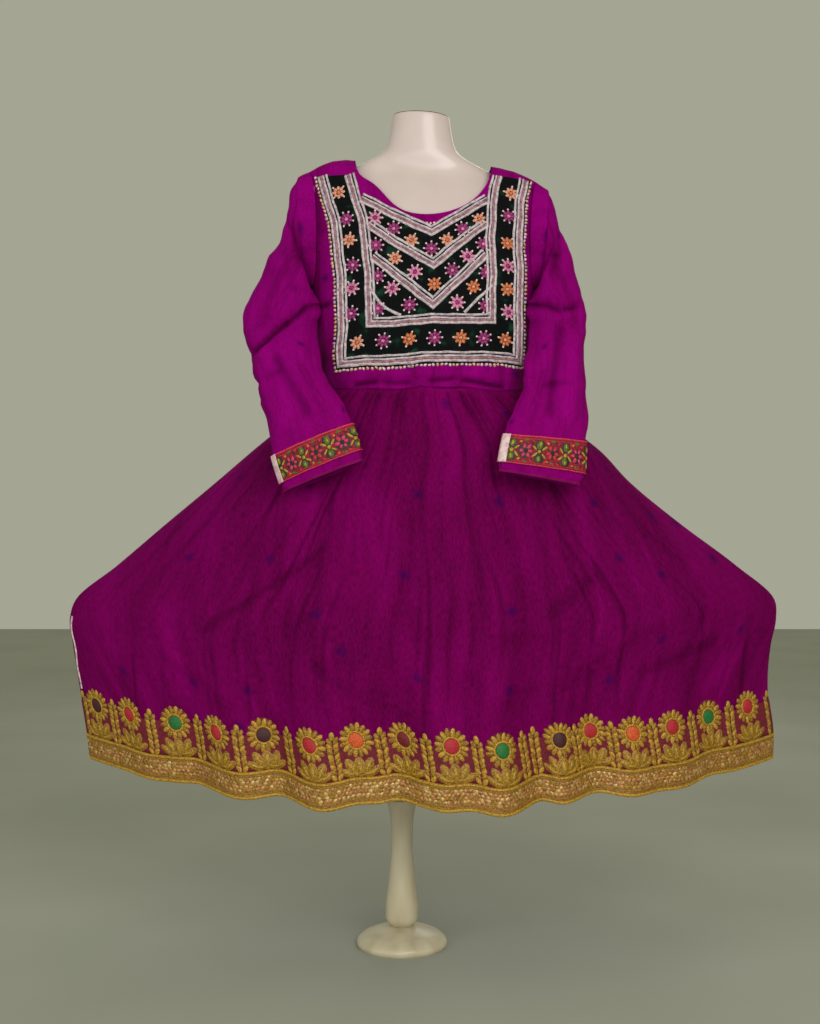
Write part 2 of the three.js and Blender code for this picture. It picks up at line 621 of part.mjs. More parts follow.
// A flattened ring of the sleeve, from its inner fold over the front to its outer fold
function sleeveRing(section) {
  const outer = new THREE.Vector3(...section.outer);
  const inner = new THREE.Vector3(...section.inner);
  const middle = outer.clone().add(inner).multiplyScalar(0.5);
  const half = inner.clone().sub(outer).multiplyScalar(0.5);
  const forward = new THREE.Vector3(half.y, -half.x, 0).setLength(section.depth);
  if (forward.y > 0) forward.negate();
  const ring = [];
  for (let k = 0; k < SLEEVE_COLUMNS; k += 1) {
    const turn = Math.PI * (k <= FRONT_ARMHOLE_ROWS
      ? k / FRONT_ARMHOLE_ROWS
      : 1 + (k - FRONT_ARMHOLE_ROWS) / BACK_ARMHOLE_ROWS);
    ring.push(middle.clone().addScaledVector(half, Math.cos(turn))
      .addScaledVector(forward, Math.sin(turn)));
  }
  return ring;
}

function sleeveRows(side, sections) {
  return [armholeRing(side), ...sections.map(sleeveRing)];
}

function sleevePieces(name, side, sections) {
  const rows = sleeveRows(side, sections);
  const flip = side > 0;
  const normals = gridNormals(rows, true).map((row) =>
    row.map((normal) => (flip ? normal.negate() : normal)));
  const inner = movedIn(rows, normals, CLOTH);
  const cuffRows = rows.slice(CUFF_TOP_ROW, CUFF_TOP_ROW + 2);
  const cuffNormals = normals.slice(CUFF_TOP_ROW, CUFF_TOP_ROW + 2);
  const atLeftEnd = (_, column) => (side < 0
    ? column >= FRONT_ARMHOLE_ROWS - BINDING_CELLS && column < FRONT_ARMHOLE_ROWS
    : column < BINDING_CELLS);
  const wrapped = { wrap: true, flip };
  return [
    wall(`sleeve_${name}`, PURPLE_CREPE, rows, inner, wrapped),
    laidOn(`cuff_${name}`, RED_EMBROIDERY, cuffRows, cuffNormals, LAID_GAP, CUFF_THICK, wrapped),
    laidOn(`cuff_binding_${name}`, PALE_BINDING, cuffRows, cuffNormals,
      2 * LAID_GAP + CUFF_THICK, BINDING_THICK, { ...wrapped, has: atLeftEnd }),
  ];
}

// Chest panel

// The panel lies on the bodice's own rows and columns, with its rows of braid raised
function chestPanel() {
  const innerPeak = STRIP_CELLS - 1;
  const framePeak = 5;
  const lastColumn = FRONT_BODICE_COLUMNS;
  const strip = (column) => Math.min(column, lastColumn - column) - FRONT_OUTER_CELLS;
  const raised = (row, column) => {
    const inward = strip(column);
    if (inward === 1 || row === 2) return true;
    if (inward === innerPeak && row >= framePeak) return true;
    if (row < framePeak || inward < innerPeak) return false;
    return row < PANEL_TOP_ROW && row % 3 === 2;
  };
  const normals = gridNormals(frontBodice, false);
  const under = movedOut(frontBodice, normals, LAID_GAP);
  const over = frontBodice.map((row, r) => row.map((point, c) => point.clone().addScaledVector(
    normals[r][c], LAID_GAP + PANEL_THICK + (raised(r, c) ? CHEST_BRAID_RISE : 0))));
  const has = (row, column) => {
    if (row < 1 || row >= PANEL_TOP_ROW) return false;
    const outerStrip = Math.min(strip(column), strip(column + 1));
    if (outerStrip < 0) return false;
    return row < PANEL_TOP_ROW - 1 || outerStrip < STRIP_CELLS;
  };
  return wall('chest_panel', BLACK_COTTON, over, under, { has });
}

// Dress form and stand

// A closed solid through level rings, with a fan of faces at each end
function loft(name, material, rings) {
  const count = rings[0].length;
  const positions = rings.flat().flatMap((point) => [point.x, point.y, point.z]);
  const triangles = [];
  for (let r = 0; r < rings.length - 1; r += 1) {
    for (let c = 0; c < count; c += 1) {
      const next = (c + 1) % count;
      const here = r * count;
      const above = here + count;
      triangles.push(here + c, here + next, above + next, here + c, above + next, above + c);
    }
  }
  for (const [ring, upward] of [[0, false], [rings.length - 1, true]]) {
    const middle = rings[ring].reduce((sum, point) => sum.add(point), new THREE.Vector3())
      .divideScalar(count);
    const centre = positions.length / 3;
    positions.push(middle.x, middle.y, middle.z);
    for (let c = 0; c < count; c += 1) {
      const a = ring * count + c;
      const b = ring * count + (c + 1) % count;
      triangles.push(...(upward ? [centre, a, b] : [centre, b, a]));
    }
  }
  const geometry = new THREE.BufferGeometry();
  geometry.setAttribute('position', new THREE.Float32BufferAttribute(positions, 3));
  geometry.setIndex(triangles);
  geometry.computeVertexNormals();
  const mesh = new THREE.Mesh(geometry, material);
  mesh.name = name;
  return mesh;
}

function dressForm() {
  const rings = FORM_SECTIONS.map((section) => {
    const ring = [];
    for (let k = 0; k < FORM_COLUMNS; k += 1) {
      const turn = 2 * Math.PI * k / FORM_COLUMNS;
      const across = Math.sign(Math.cos(turn)) * Math.abs(Math.cos(turn)) ** (2 / FORM_ROUNDNESS);
      const deep = Math.sign(Math.sin(turn)) * Math.abs(Math.sin(turn)) ** (2 / FORM_ROUNDNESS);
      const depth = deep < 0 ? section.front : section.back;
      ring.push(leaned(new THREE.Vector3(
        section.middle + section.half * across, depth * deep, section.z)));
    }
    return ring;
  });
  return loft('form_torso', WHITE_PLASTIC, rings);
}

function turned(name, material, profile, segments) {
  const outline = profile.map(({ radius, z }) => new THREE.Vector2(radius, z));
  const first = new THREE.Vector2(0, profile[0].z);
  const last = new THREE.Vector2(0, profile[profile.length - 1].z);
  const geometry = new THREE.LatheGeometry([first, ...outline, last], segments);
  geometry.rotateX(Math.PI / 2);
  const mesh = new THREE.Mesh(geometry, material);
  mesh.name = name;
  mesh.position.x = STAND_X;
  return mesh;
}

function standPole() {
  const foot = POST_PROFILE[POST_PROFILE.length - 1].z + SEAM;
  const head = FORM_SECTIONS[0].z - SEAM;
  return turned('stand_pole', CREAM_PAINT, [
    { z: foot, radius: POLE_RADIUS },
    { z: head, radius: POLE_RADIUS },
  ], 16);
}

const dress = new THREE.Group();
dress.add(
  bodicePiece('bodice_front', frontBodice, FRONT_SIDE_ROWS, FRONT_OUTER_CELLS + STRIP_CELLS),
  bodicePiece('bodice_back', backBodice, BACK_SIDE_ROWS,
    BACK_BODICE_COLUMNS / 2 - BACK_NECK_COLUMNS),
  skirtPiece('skirt_front', frontSkirt),
  skirtPiece('skirt_back', backSkirt),
  skirtBand('hem_border_front', GOLD_THREAD, frontSkirt, FRONT_ROW_Z, HEM_BORDER),
  skirtBand('hem_border_back', GOLD_THREAD, backSkirt, BACK_ROW_Z, HEM_BORDER),
  skirtBand('hem_braid_front', SEQUIN_BRAID, frontSkirt, FRONT_ROW_Z, HEM_BRAID),
  skirtBand('hem_braid_back', SEQUIN_BRAID, backSkirt, BACK_ROW_Z, HEM_BRAID),
  ...sleevePieces('left', -1, LEFT_SLEEVE),
  ...sleevePieces('right', 1, RIGHT_SLEEVE),
  chestPanel(),
  dressForm(),
  standPole(),
  turned('stand_post', CREAM_PAINT, POST_PROFILE, 16),
  turned('stand_base', CREAM_PAINT, BASE_PROFILE, 24),
);

export default dress;
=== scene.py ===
# A kuchi dress on a dress form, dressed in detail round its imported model. Metres, with the long
# tables in millimetres, +Z up, X to the right of someone who faces the dress and Y back. Pieces
# come in the order of putting the object together: stand, form, bodice, sleeves, skirt, trims.
import json
import math

import bpy
import numpy as np
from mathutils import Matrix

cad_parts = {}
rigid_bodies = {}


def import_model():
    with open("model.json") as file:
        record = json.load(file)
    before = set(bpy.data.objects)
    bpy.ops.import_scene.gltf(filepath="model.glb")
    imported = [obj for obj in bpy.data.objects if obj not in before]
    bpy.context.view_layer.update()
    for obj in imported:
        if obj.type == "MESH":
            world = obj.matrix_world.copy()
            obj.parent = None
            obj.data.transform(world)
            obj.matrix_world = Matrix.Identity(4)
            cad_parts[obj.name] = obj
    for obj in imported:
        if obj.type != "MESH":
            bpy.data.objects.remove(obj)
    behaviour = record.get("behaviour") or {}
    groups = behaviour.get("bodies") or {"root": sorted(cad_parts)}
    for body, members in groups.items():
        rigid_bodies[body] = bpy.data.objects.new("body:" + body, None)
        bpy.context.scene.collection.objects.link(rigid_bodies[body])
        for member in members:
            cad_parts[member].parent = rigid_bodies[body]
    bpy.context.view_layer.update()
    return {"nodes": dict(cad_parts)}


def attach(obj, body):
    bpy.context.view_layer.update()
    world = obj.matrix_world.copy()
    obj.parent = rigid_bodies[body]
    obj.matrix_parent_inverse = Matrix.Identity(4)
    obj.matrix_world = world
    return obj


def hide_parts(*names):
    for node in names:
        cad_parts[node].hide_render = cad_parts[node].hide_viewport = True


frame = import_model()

# Stand: a low round foot, a turned post and a plain pole, painted cream in an uneven tone.
# Each is turned from its own outline, and they are screwed together end to end.
STAND_X = -0.040


def thousandths(rows):
    """Rows of a table that is written in millimetres, and in thousandths where it holds shares."""
    return [tuple(n if isinstance(n, str) else n / 1000 for n in row) for row in rows]


FOOT_OUTLINE = thousandths([  # height and radius
    (0, 83), (2, 85), (8, 86), (13, 83.5), (20, 76), (26, 64), (30, 52), (34, 36), (37, 24)])
POST_OUTLINE = thousandths([
    (37.3, 20), (44, 27), (50, 30), (56, 31), (78, 31), (92, 29.5), (110, 27), (130, 24.6),
    (150, 22.5), (175, 20.6), (200, 20), (222, 20.6), (240, 22), (256, 24.8), (268, 27),
    (273, 28.1), (276, 28), (279, 25), (282, 20)])
POLE_OUTLINE = thousandths([
    (282.3, 12.5), (840, 12.5), (861.7, 12.5)])


def colour(code):
    """Linear red, green, blue and alpha of a screen colour written as six hex digits."""
    parts = [int(code[i:i + 2], 16) / 255 for i in (0, 2, 4)]
    linear = [c / 12.92 if c <= 0.04045 else ((c + 0.055) / 1.055) ** 2.4 for c in parts]
    return (*linear, 1.0)


def shader_socket(material, name):
    return material.node_tree.nodes["Principled BSDF"].inputs[name]


def new_material(name, base, roughness, **sockets):
    """A material with its constant values set on the shader's own sockets."""
    material = bpy.data.materials.new(name)
    material.use_nodes = True
    for socket, value in {"Base_Color": colour(base), "Roughness": roughness, **sockets}.items():
        shader_socket(material, socket.replace("_", " ")).default_value = value
    return material


def add_node(material, kind, inputs, **settings):
    """A shader node. Each input is a number, a colour or another node's output."""
    tree = material.node_tree
    node = tree.nodes.new("ShaderNode" + kind)
    for name, value in settings.items():
        setattr(node, name, value)
    for name, value in inputs.items():
        if isinstance(value, bpy.types.NodeSocket):
            tree.links.new(value, node.inputs[name])
        else:
            node.inputs[name].default_value = value
    return node


def places(material, kind="Object", scale=(1, 1, 1)):
    """Places on a piece for a pattern: Object coordinates or the piece's own UV map."""
    where = add_node(material, "TexCoord", {}).outputs[kind]
    return add_node(material, "Mapping", {"Vector": where, "Scale": scale}).outputs["Vector"]


def noise(material, scale, detail=2, roughness=0.5, kind="Object", stretch=(1, 1, 1)):
    """Soft noise from 0 to 1 over a piece."""
    return add_node(material, "TexNoise", {
        "Vector": places(material, kind, stretch), "Scale": scale, "Detail": detail,
        "Roughness": roughness}).outputs["Fac"]


def ramp(material, value, stops):
    """Turns a value into colours. stops holds pairs of place and hex colour."""
    node = add_node(material, "ValToRGB", {"Fac": value})
    steps = node.color_ramp.elements
    while len(steps) < len(stops):
        steps.new(0.5)
    for step, (place, code) in zip(steps, stops):
        step.position = place
        step.color = colour(code)
    return node.outputs["Color"]


def wire(material, output, name):
    """Wires a node's output to a socket of the shader."""
    material.node_tree.links.new(output, shader_socket(material, name))


def paint(material, value, stops):
    """Colours a material by a value."""
    wire(material, ramp(material, value, stops), "Base Color")


def bump(material, height, depth, distance=0.001):
    """Gives a material low relief."""
    node = add_node(material, "Bump", {"Height": height, "Strength": depth, "Distance": distance})
    wire(material, node.outputs["Normal"], "Normal")


def deselect_all():
    bpy.ops.object.select_all(action="DESELECT")


def make_current(piece):
    deselect_all()
    piece.select_set(True)
    bpy.context.view_layer.objects.active = piece


def stands_for(piece, node):
    """Puts a piece on the object in place of its solid, and hides the solid."""
    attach(piece, "root")
    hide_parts(node)


def finish_piece(piece, name, node, material):
    """Names a modelled piece and puts it in the object's frame, in place of its solid."""
    piece.name = name
    piece.data.name = name
    make_current(piece)
    bpy.ops.object.transform_apply(location=True, rotation=True, scale=True)
    piece.data.materials.clear()
    piece.data.materials.append(material)
    stands_for(piece, node)


def turned_piece(outline, sides):
    """A solid turned round the stand's axis, drawn up ring by ring from a flat disc."""
    deselect_all()
    height, radius = outline[0]
    bpy.ops.mesh.primitive_circle_add(
        vertices=sides, radius=radius, fill_type="NGON", location=(STAND_X, 0, height))
    bpy.ops.object.mode_set(mode="EDIT")
    bpy.ops.mesh.select_all(action="SELECT")
    for next_height, next_radius in outline[1:]:
        bpy.ops.mesh.extrude_region_move(
            TRANSFORM_OT_translate={"value": (0, 0, next_height - height)})
        grow = next_radius / radius
        bpy.ops.transform.resize(
            value=(grow, grow, 1), center_override=(STAND_X, 0, next_height))
        height, radius = next_height, next_radius
    bpy.ops.mesh.select_all(action="SELECT")
    bpy.ops.mesh.normals_make_consistent(inside=False)
    bpy.ops.object.mode_set(mode="OBJECT")
    bpy.ops.object.shade_smooth_by_angle(angle=math.radians(38))
    return bpy.context.object


cream_paint = new_material("cream_paint", "d8ccb2", 0.42, Coat_Weight=0.25)
paint(cream_paint, noise(cream_paint, 30, 2, 0.4, stretch=(1, 1, 0.2)),
      [(0.25, "b8ac8c"), (0.45, "c9bea0"), (0.75, "d4caae")])
bump(cream_paint, noise(cream_paint, 240, 3, stretch=(1, 1, 0.12)), 0.25)

for name, outline, sides, node in (("stand_foot", FOOT_OUTLINE, 72, "stand_base"),
                                   ("turned_post", POST_OUTLINE, 48, "stand_post"),
                                   ("plain_pole", POLE_OUTLINE, 32, "stand_pole")):
    finish_piece(turned_piece(outline, sides), name, node, cream_paint)

# Dress form: a limbless torso with a neck, blown in glossy white plastic in one piece, with a
# trimmed edge round the top of the neck. The pole goes into it from below.
SHOULDER_TILT = 0.045  # the viewer's right shoulder sits lower than the left
NECK_TOP_Z = 1.5715
TRIM_DEEP = 0.0028

white_plastic = new_material("white_plastic", "d4c2c0", 0.32, Coat_Weight=0.3, Coat_Roughness=0.15)
paint(white_plastic, noise(white_plastic, 7, 3), [(0.3, "cebcb9"), (0.7, "dccbc8")])
bump(white_plastic, noise(white_plastic, 30), 0.08)

trimmed_edge = new_material("trimmed_edge", "4a2a22", 0.5)
paint(trimmed_edge, noise(trimmed_edge, 400), [(0.35, "2e1a15"), (0.7, "6b4032")])

make_current(frame["nodes"]["form_torso"])
bpy.ops.object.duplicate(linked=False)
form_shell = bpy.context.object
bpy.ops.object.parent_clear(type="CLEAR_KEEP_TRANSFORM")
bpy.ops.object.mode_set(mode="EDIT")
bpy.ops.mesh.select_all(action="SELECT")
bpy.ops.mesh.remove_doubles(threshold=0.00005)
bpy.ops.mesh.tris_convert_to_quads(
    face_threshold=math.radians(60), shape_threshold=math.radians(60))
bpy.ops.mesh.normals_make_consistent(inside=False)
bpy.ops.object.mode_set(mode="OBJECT")
rounding = form_shell.modifiers.new("rounding", "SUBSURF")
rounding.levels = rounding.render_levels = 2
bpy.ops.object.modifier_apply(modifier=rounding.name)
bpy.ops.object.shade_smooth()
finish_piece(form_shell, "form_shell", "form_torso", white_plastic)
form_shell.data.materials.append(trimmed_edge)
for face in form_shell.data.polygons:
    height = face.center.z + SHOULDER_TILT * face.center.x
    if height > NECK_TOP_Z - TRIM_DEEP and face.normal.z < 0.8:
        face.material_index = 1

# Bodice: front and back of thin magenta crepe with small dark woven spots, joined at the side
# and shoulder seams. It hangs from the form's shoulders, with a turned edge round the neck.
WAIST_X, WAIST_Z = 0.192, 1.046
UNDERARM_X, UNDERARM_Z = 0.2107, 1.240
TIP_X, TIP_Z = 0.217, 1.452
NECK_X, NECK_Z = 0.128, 1.480
FRONT_NECK_Z, BACK_NECK_Z = 1.368, 1.448
FRONT_SEAM, BACK_SEAM = 6 / 17, 3 / 11  # the side seam's share of a panel's outer edge
ARMHOLE_DIP = {-1: 0.015, 1: 0.012}  # in front and behind
CLOTH_THICK = 0.0012
BODICE_ROUND = 2.3  # roundness of a level section, where 2 is an ellipse
CREASE_DEEP = 0.0040  # how deep a crease is where the shade painted into it is darkest
BODICE_SECTIONS = thousandths([  # height, half width, depth in front and behind
    (1046, 192, 128, 105), (1120, 200, 135, 106), (1200, 208, 132, 108), (1280, 214, 118, 108),
    (1345, 217, 99, 101), (1400, 218, 83, 90), (1440, 218, 72, 81), (1452, 217, 68, 77),
    (1466, 172.5, 63, 70), (1480, 128, 57, 63), (1500, 92, 52, 56)])
# The shoulder seam is a soft arch: how far from the middle, and the rise over a straight line
SHOULDER_ARCH = thousandths([
    (0, 0), (128, 0), (145, 4.8), (170, 8), (198, 7.8), (217, 4.5), (240, 4)])
# Creases of the bodice front: from x, z to x, z, half width, and how far each stands out
BODICE_CREASES = thousandths([
    (-196, 1060, -172, 1150, 10, -3), (-190, 1200, -176, 1110, 8, 2.6),
    (203, 1070, 188, 1160, 10, -2.6), (-130, 1052, -80, 1059, 5, -4.2),
    (-78, 1060, -20, 1055, 5, -3), (5, 1057, 60, 1064, 5, -3.4), (66, 1060, 150, 1053, 5, -4.4),
    (-110, 1074, 20, 1068, 7, 2.4), (30, 1075, 170, 1064, 7, 2.6),
    (-204, 1196, -166, 1207, 6, -4), (204, 1204, 176, 1207, 6, -3.6),
    (-205, 1420, -190, 1330, 10, -2.2), (207, 1400, 196, 1300, 10, -2.2)])


def smooth(share):
    share = np.clip(share, 0, 1)
    return share * share * (3 - 2 * share)


def read(table, at):
    """The columns of a table at places between its rows, on a smooth line through them."""
    rows = np.array(sorted(table), float)
    place, values = rows[:, 0], rows[:, 1:]
    slope = np.gradient(values, place, axis=0)
    at = np.clip(np.asarray(at, float), place[0], place[-1])
    k = np.clip(np.searchsorted(place, at) - 1, 0, len(place) - 2)
    span = (place[k + 1] - place[k])[..., None]
    t = (at - place[k])[..., None] / span
    line = ((2 * t ** 3 - 3 * t ** 2 + 1) * values[k] + (t ** 3 - 2 * t ** 2 + t) * span * slope[k]
            + (3 * t ** 2 - 2 * t ** 3) * values[k + 1] + (t ** 3 - t ** 2) * span * slope[k + 1])
    return np.moveaxis(line, -1, 0)


def mix(a, b, share):
    return a + (b - a) * share


def crumple(u, v, size, seed):
    """Soft uneven dents about 1 high and size across, over flat places u, v."""
    dice = np.random.default_rng(seed)
    height = 0
    for _ in range(14):
        angle, phase = dice.uniform(0, math.tau, 2)
        wave = size * dice.uniform(0.7, 2.0)
        height = height + np.sin(
            math.tau * (u * math.cos(angle) + v * math.sin(angle)) / wave + phase)
    return height / 3.7


def creases(x, z, table):
    """Height of soft creases, each along a straight line that fades at its ends."""
    height = 0
    for x0, z0, x1, z1, wide, out in table:
        length = math.hypot(x1 - x0, z1 - z0)
        along = ((x - x0) * (x1 - x0) + (z - z0) * (z1 - z0)) / length
        off = ((x - x0) * (z1 - z0) - (z - z0) * (x1 - x0)) / length
        ends = smooth((along + wide) / (3 * wide)) * smooth((length + wide - along) / (3 * wide))
        height = height + out * ends * np.exp(-(off / wide) ** 2)
    return height


def waist_wave(x, z):
    """How far the waist seam rises and falls, fading out above and below it."""
    wave = 0.0016 * np.sin(31 * x + 0.6) + 0.0011 * np.sin(67 * x + 2.1)
    return wave * smooth(1 - np.abs(z - WAIST_Z) / 0.05)


def bodice_point(x, z, side):
    """The bodice over a place x, z seen from the front (side -1) or from behind (side 1)."""
    half, front, back = read(BODICE_SECTIONS, z)
    half = np.where(z > TIP_Z, mix(TIP_X, NECK_X, (z - TIP_Z) / (NECK_Z - TIP_Z)), half)
    across = np.minimum(1, np.abs(x / half))
    deep = (front if side < 0 else back) * (1 - across ** BODICE_ROUND) ** (1 / BODICE_ROUND)
    from_middle, arch = np.array(SHOULDER_ARCH).T
    rise = np.interp(np.abs(x), from_middle, arch) * (1 - 0.25 * np.tanh(x / 0.05))
    down = z - SHOULDER_TILT * smooth((z - UNDERARM_Z) / 0.2) * x + waist_wave(x, z)
    down = down + rise * smooth((z - TIP_Z + 0.010) / 0.022)
    inside = smooth((1 - across) / 0.08)
    relief = (0.0012 * crumple(x, z, 0.09, 4 + side) + 0.0007 * crumple(x, z, 0.035, 9)) * inside
    if side < 0:
        relief = relief + creases(x, z, BODICE_CREASES) * inside
        beside_panel = np.maximum(smooth((np.abs(x) - 0.165) / 0.02), 0.15)
        relief = relief * np.where((z > 1.09) & (z < 1.45), beside_panel, 1)
    return np.stack([x, side * np.maximum(deep + relief, 0.0002), down], -1)


def grid_faces(rows, columns, wrap=False, flip=False):
    """Faces of a grid whose points are numbered row by row."""
    last = columns if wrap else columns - 1
    r, c = np.meshgrid(np.arange(rows - 1), np.arange(last), indexing="ij")
    n = (c + 1) % columns
    corners = [r * columns + c, r * columns + n, (r + 1) * columns + n, (r + 1) * columns + c]
    if flip:
        corners.reverse()
    return np.stack(corners, -1).reshape(-1, 4)


def sheet_of(name, points, flat, material, thick, node, flip=False, keep=None, painted_crease_shade=None):
    """A sheet of cloth on a grid of points, with its flat places in metres as its UV map. A tube
    has one more column of flat places than of points. The last argument tells, from 0 to 1, how
    deep each point lies in a crease; the material paints shade there, darker the deeper."""
    rows, columns = points.shape[:2]
    faces = grid_faces(rows, columns, flat.shape[1] > columns, flip)
    spots = flat.reshape(-1, 2)[grid_faces(rows, flat.shape[1], flip=flip)]
    if keep is not None:
        faces, spots = faces[keep.ravel()], spots[keep.ravel()]
    mesh = bpy.data.meshes.new(name)
    mesh.from_pydata(points.reshape(-1, 3).tolist(), [], faces.tolist())
    mesh.uv_layers.new(name="UVMap").data.foreach_set("uv", spots.ravel().astype(np.float32))
    if painted_crease_shade is not None:
        mesh.attributes.new("painted_crease_shade", "FLOAT", "POINT").data.foreach_set(
            "value", np.clip(painted_crease_shade, 0, 1).ravel().astype(np.float32))
    mesh.materials.append(material)
    piece = bpy.data.objects.new(name, mesh)
    bpy.context.collection.objects.link(piece)
    make_current(piece)
    bpy.ops.object.mode_set(mode="EDIT")
    bpy.ops.mesh.select_all(action="SELECT")
    bpy.ops.mesh.delete_loose()
    bpy.ops.object.mode_set(mode="OBJECT")
    wall = piece.modifiers.new("thickness", "SOLIDIFY")
    wall.thickness = thick
    wall.offset = -1
    bpy.ops.object.modifier_apply(modifier=wall.name)
    bpy.ops.object.shade_smooth()
    stands_for(piece, node)
    return piece


def blended(material, share, a, b):
    """Colour a with a share of colour b in it."""
    node = add_node(material, "Mix", {"Factor": share, "A": a, "B": b}, data_type="RGBA")
    return node.outputs["Result"]


def worked_out(material, operation, a, b):
    return add_node(material, "Math", {0: a, 1: b}, operation=operation).outputs[0]


def crepe_cloth(name, stops):
    """Crinkled thin crepe: cloudy dye, darker streaks down the cloth that are partly painted fold
    shade, dark woven spots, and painted shade in its creases.
    """
    crepe = new_material(name, stops[1][1], 0.8, Sheen_Weight=0.08, Sheen_Roughness=0.5,
                         Sheen_Tint=colour("c800a0"), Specular_IOR_Level=0.03)

    def uneven(scale, detail, roughness, down):
        return noise(crepe, scale, detail, roughness, "UV", (1, down, 1))

    tone = ramp(crepe, uneven(9, 6, 0.62, 0.45), stops)
    # Darker streaks down the cloth at random places: partly uneven dye, partly painted shade
    # standing in for its folds.
    runs = ramp(crepe, uneven(34, 4, 0.6, 0.09), [
        (0.34, "3c0024"), (0.47, stops[1][1]), (0.60, stops[2][1]), (0.72, stops[3][1])])
    threads = ramp(crepe, uneven(420, 2, 0.5, 0.25), [(0.35, "4a0034"), (0.65, "b0008c")])
    tone = blended(crepe, 0.16, blended(crepe, 0.4, tone, runs), threads)
    woven = add_node(crepe, "TexVoronoi", {
        "Vector": places(crepe, "UV"), "Scale": 7.5, "Randomness": 0.85}, voronoi_dimensions="2D")
    ragged = worked_out(crepe, "MULTIPLY", uneven(160, 2, 0.5, 1), 0.085)
    inside_spot = add_node(crepe, "MapRange", {
        "Value": worked_out(crepe, "ADD", woven.outputs["Distance"], ragged),
        "From Min": 0.060, "From Max": 0.135, "To Min": 0.6, "To Max": 0})
    tone = blended(crepe, inside_spot.outputs["Result"], tone, colour("2a0450"))
    # Painted shade: the cloth is darkened towards 2a0016 where the sheet's crease attribute says it
    # lies deep in a crease.
    crease_shade = add_node(crepe, "Attribute", {}, attribute_name="painted_crease_shade").outputs["Fac"]
    painted_shade = worked_out(crepe, "MULTIPLY", crease_shade, 0.78)
    wire(crepe, blended(crepe, painted_shade, tone, colour("2a0016")), "Base Color")
    bump(crepe, uneven(95, 6, 0.7, 0.35), 0.75, 0.0022)
    return crepe


crepe = crepe_cloth("magenta_crepe", [
    (0.28, "5c0040"), (0.44, "800066"), (0.58, "920078"), (0.76, "ac0092")])


def side_edge(share, side, from_waist):
    """Half width and height of a bodice panel's outer edge: side seam, then armhole."""
    up = np.clip((share - from_waist) / (1 - from_waist), 0, 1)
    seam = np.clip(share / from_waist, 0, 1)
    turn = np.pi * up
    z = np.where(share <= from_waist, mix(WAIST_Z, UNDERARM_Z, seam),
                 mix(UNDERARM_Z, TIP_Z, (1 - np.cos(turn)) / 2))
    armhole = mix(UNDERARM_X, TIP_X, up) - ARMHOLE_DIP[side] * np.abs(np.sin(turn)) ** 0.8
    return np.where(share <= from_waist, read(BODICE_SECTIONS, z)[0], armhole), z


def top_line(x, neck_z):
    """Height of the neck edge and the shoulder seam over a half width x."""
    cosine = np.sqrt(np.maximum(0, 1 - (x / NECK_X) ** 2))
    neck = neck_z + (NECK_Z - neck_z) * (1 - cosine)
    shoulder = mix(NECK_Z, TIP_Z, (x - NECK_X) / (TIP_X - NECK_X))
    return np.where(x <= NECK_X, neck, shoulder)


def bodice_panel(name, side, neck_z, from_waist):
    """Front or back of the bodice, spread between its waist, side, armhole and neck edges."""
    share, up = np.meshgrid(np.linspace(-1, 1, 141), np.linspace(0, 1, 141))
    away = np.abs(share)
    neck_share = 0.6
    top_x = np.where(away <= neck_share,
                     NECK_X * np.sin(np.pi / 2 * np.minimum(1, away / neck_share)),
                     mix(NECK_X, TIP_X, (away - neck_share) / (1 - neck_share)))
    top_z = top_line(top_x, neck_z)
    if side < 0:
        hangs_straighter = np.exp(-((top_x * np.sign(share) + 0.093) / 0.035) ** 2)
        top_z = top_z + 0.024 * hangs_straighter * (1 - np.minimum(1, top_x / NECK_X) ** 8)
    edge_x, edge_z = side_edge(up, side, from_waist)
    rise = up ** 0.9
    x = away * (edge_x - mix(WAIST_X, TIP_X, rise)) \
        + mix(WAIST_X * np.sin(np.pi / 2 * away), top_x, rise)
    z = away * (edge_z - mix(WAIST_Z, TIP_Z, rise)) + mix(WAIST_Z, top_z, rise)
    x = np.sign(share) * x
    # How deep each point lies in a front crease, from 0 to 1, for the shade painted there.
    deep = -creases(x, z, BODICE_CREASES) / CREASE_DEEP if side < 0 else np.zeros_like(x)
    panel = sheet_of(f"{name}_cloth", bodice_point(x, z, side), np.stack([x * 1.12, z], -1), crepe,
                     CLOTH_THICK, name, flip=side > 0, painted_crease_shade=deep)


bodice_panel("bodice_front", -1, FRONT_NECK_Z, FRONT_SEAM)
bodice_panel("bodice_back", 1, BACK_NECK_Z, BACK_SEAM)

# Sleeves: a wide tube of the same crepe on each side, gathered flat by its own weight. It hangs
# empty from the armhole seam, forward over the skirt, creased at the elbow.
SLEEVE_SECTIONS = {  # outer fold x, y, z, inner fold x, y, z, half the flattened depth
    -1: thousandths([
        (-236, -3, 1458, -225, -4, 1245, 52), (-250, -12, 1428, -219, -10, 1235, 52),
        (-254, -31, 1384, -210, -30, 1214, 50), (-263, -63, 1332, -198, -54, 1186, 45),
        (-319, -70, 1220, -192, -88, 1124, 36), (-331, -78, 1168, -188, -112, 1097, 33),
        (-317, -95, 1108, -182, -130, 1071, 29), (-280, -140, 978, -143, -184, 1012, 24),
        (-269, -157, 920, -126, -203, 976, 22), (-253, -168, 871, -111, -213, 929, 21),
        (-247, -171, 856, -107, -216, 910, 20)]),
    1: thousandths([
        (235, -3, 1432, 225, -4, 1245, 52), (245, -12, 1402, 219, -10, 1234, 52),
        (253, -31, 1362, 210, -30, 1213, 50), (264, -63, 1316, 198, -54, 1184, 45),
        (294, -70, 1214, 193, -88, 1121, 36), (296, -80, 1160, 190, -112, 1090, 33),
        (292, -96, 1104, 186, -130, 1058, 29), (293, -138, 992, 154, -182, 990, 24),
        (288, -156, 947, 140, -203, 957, 22), (284, -168, 889, 130, -213, 909, 21),
        (272, -172, 868, 133, -215, 892, 20)]),
}
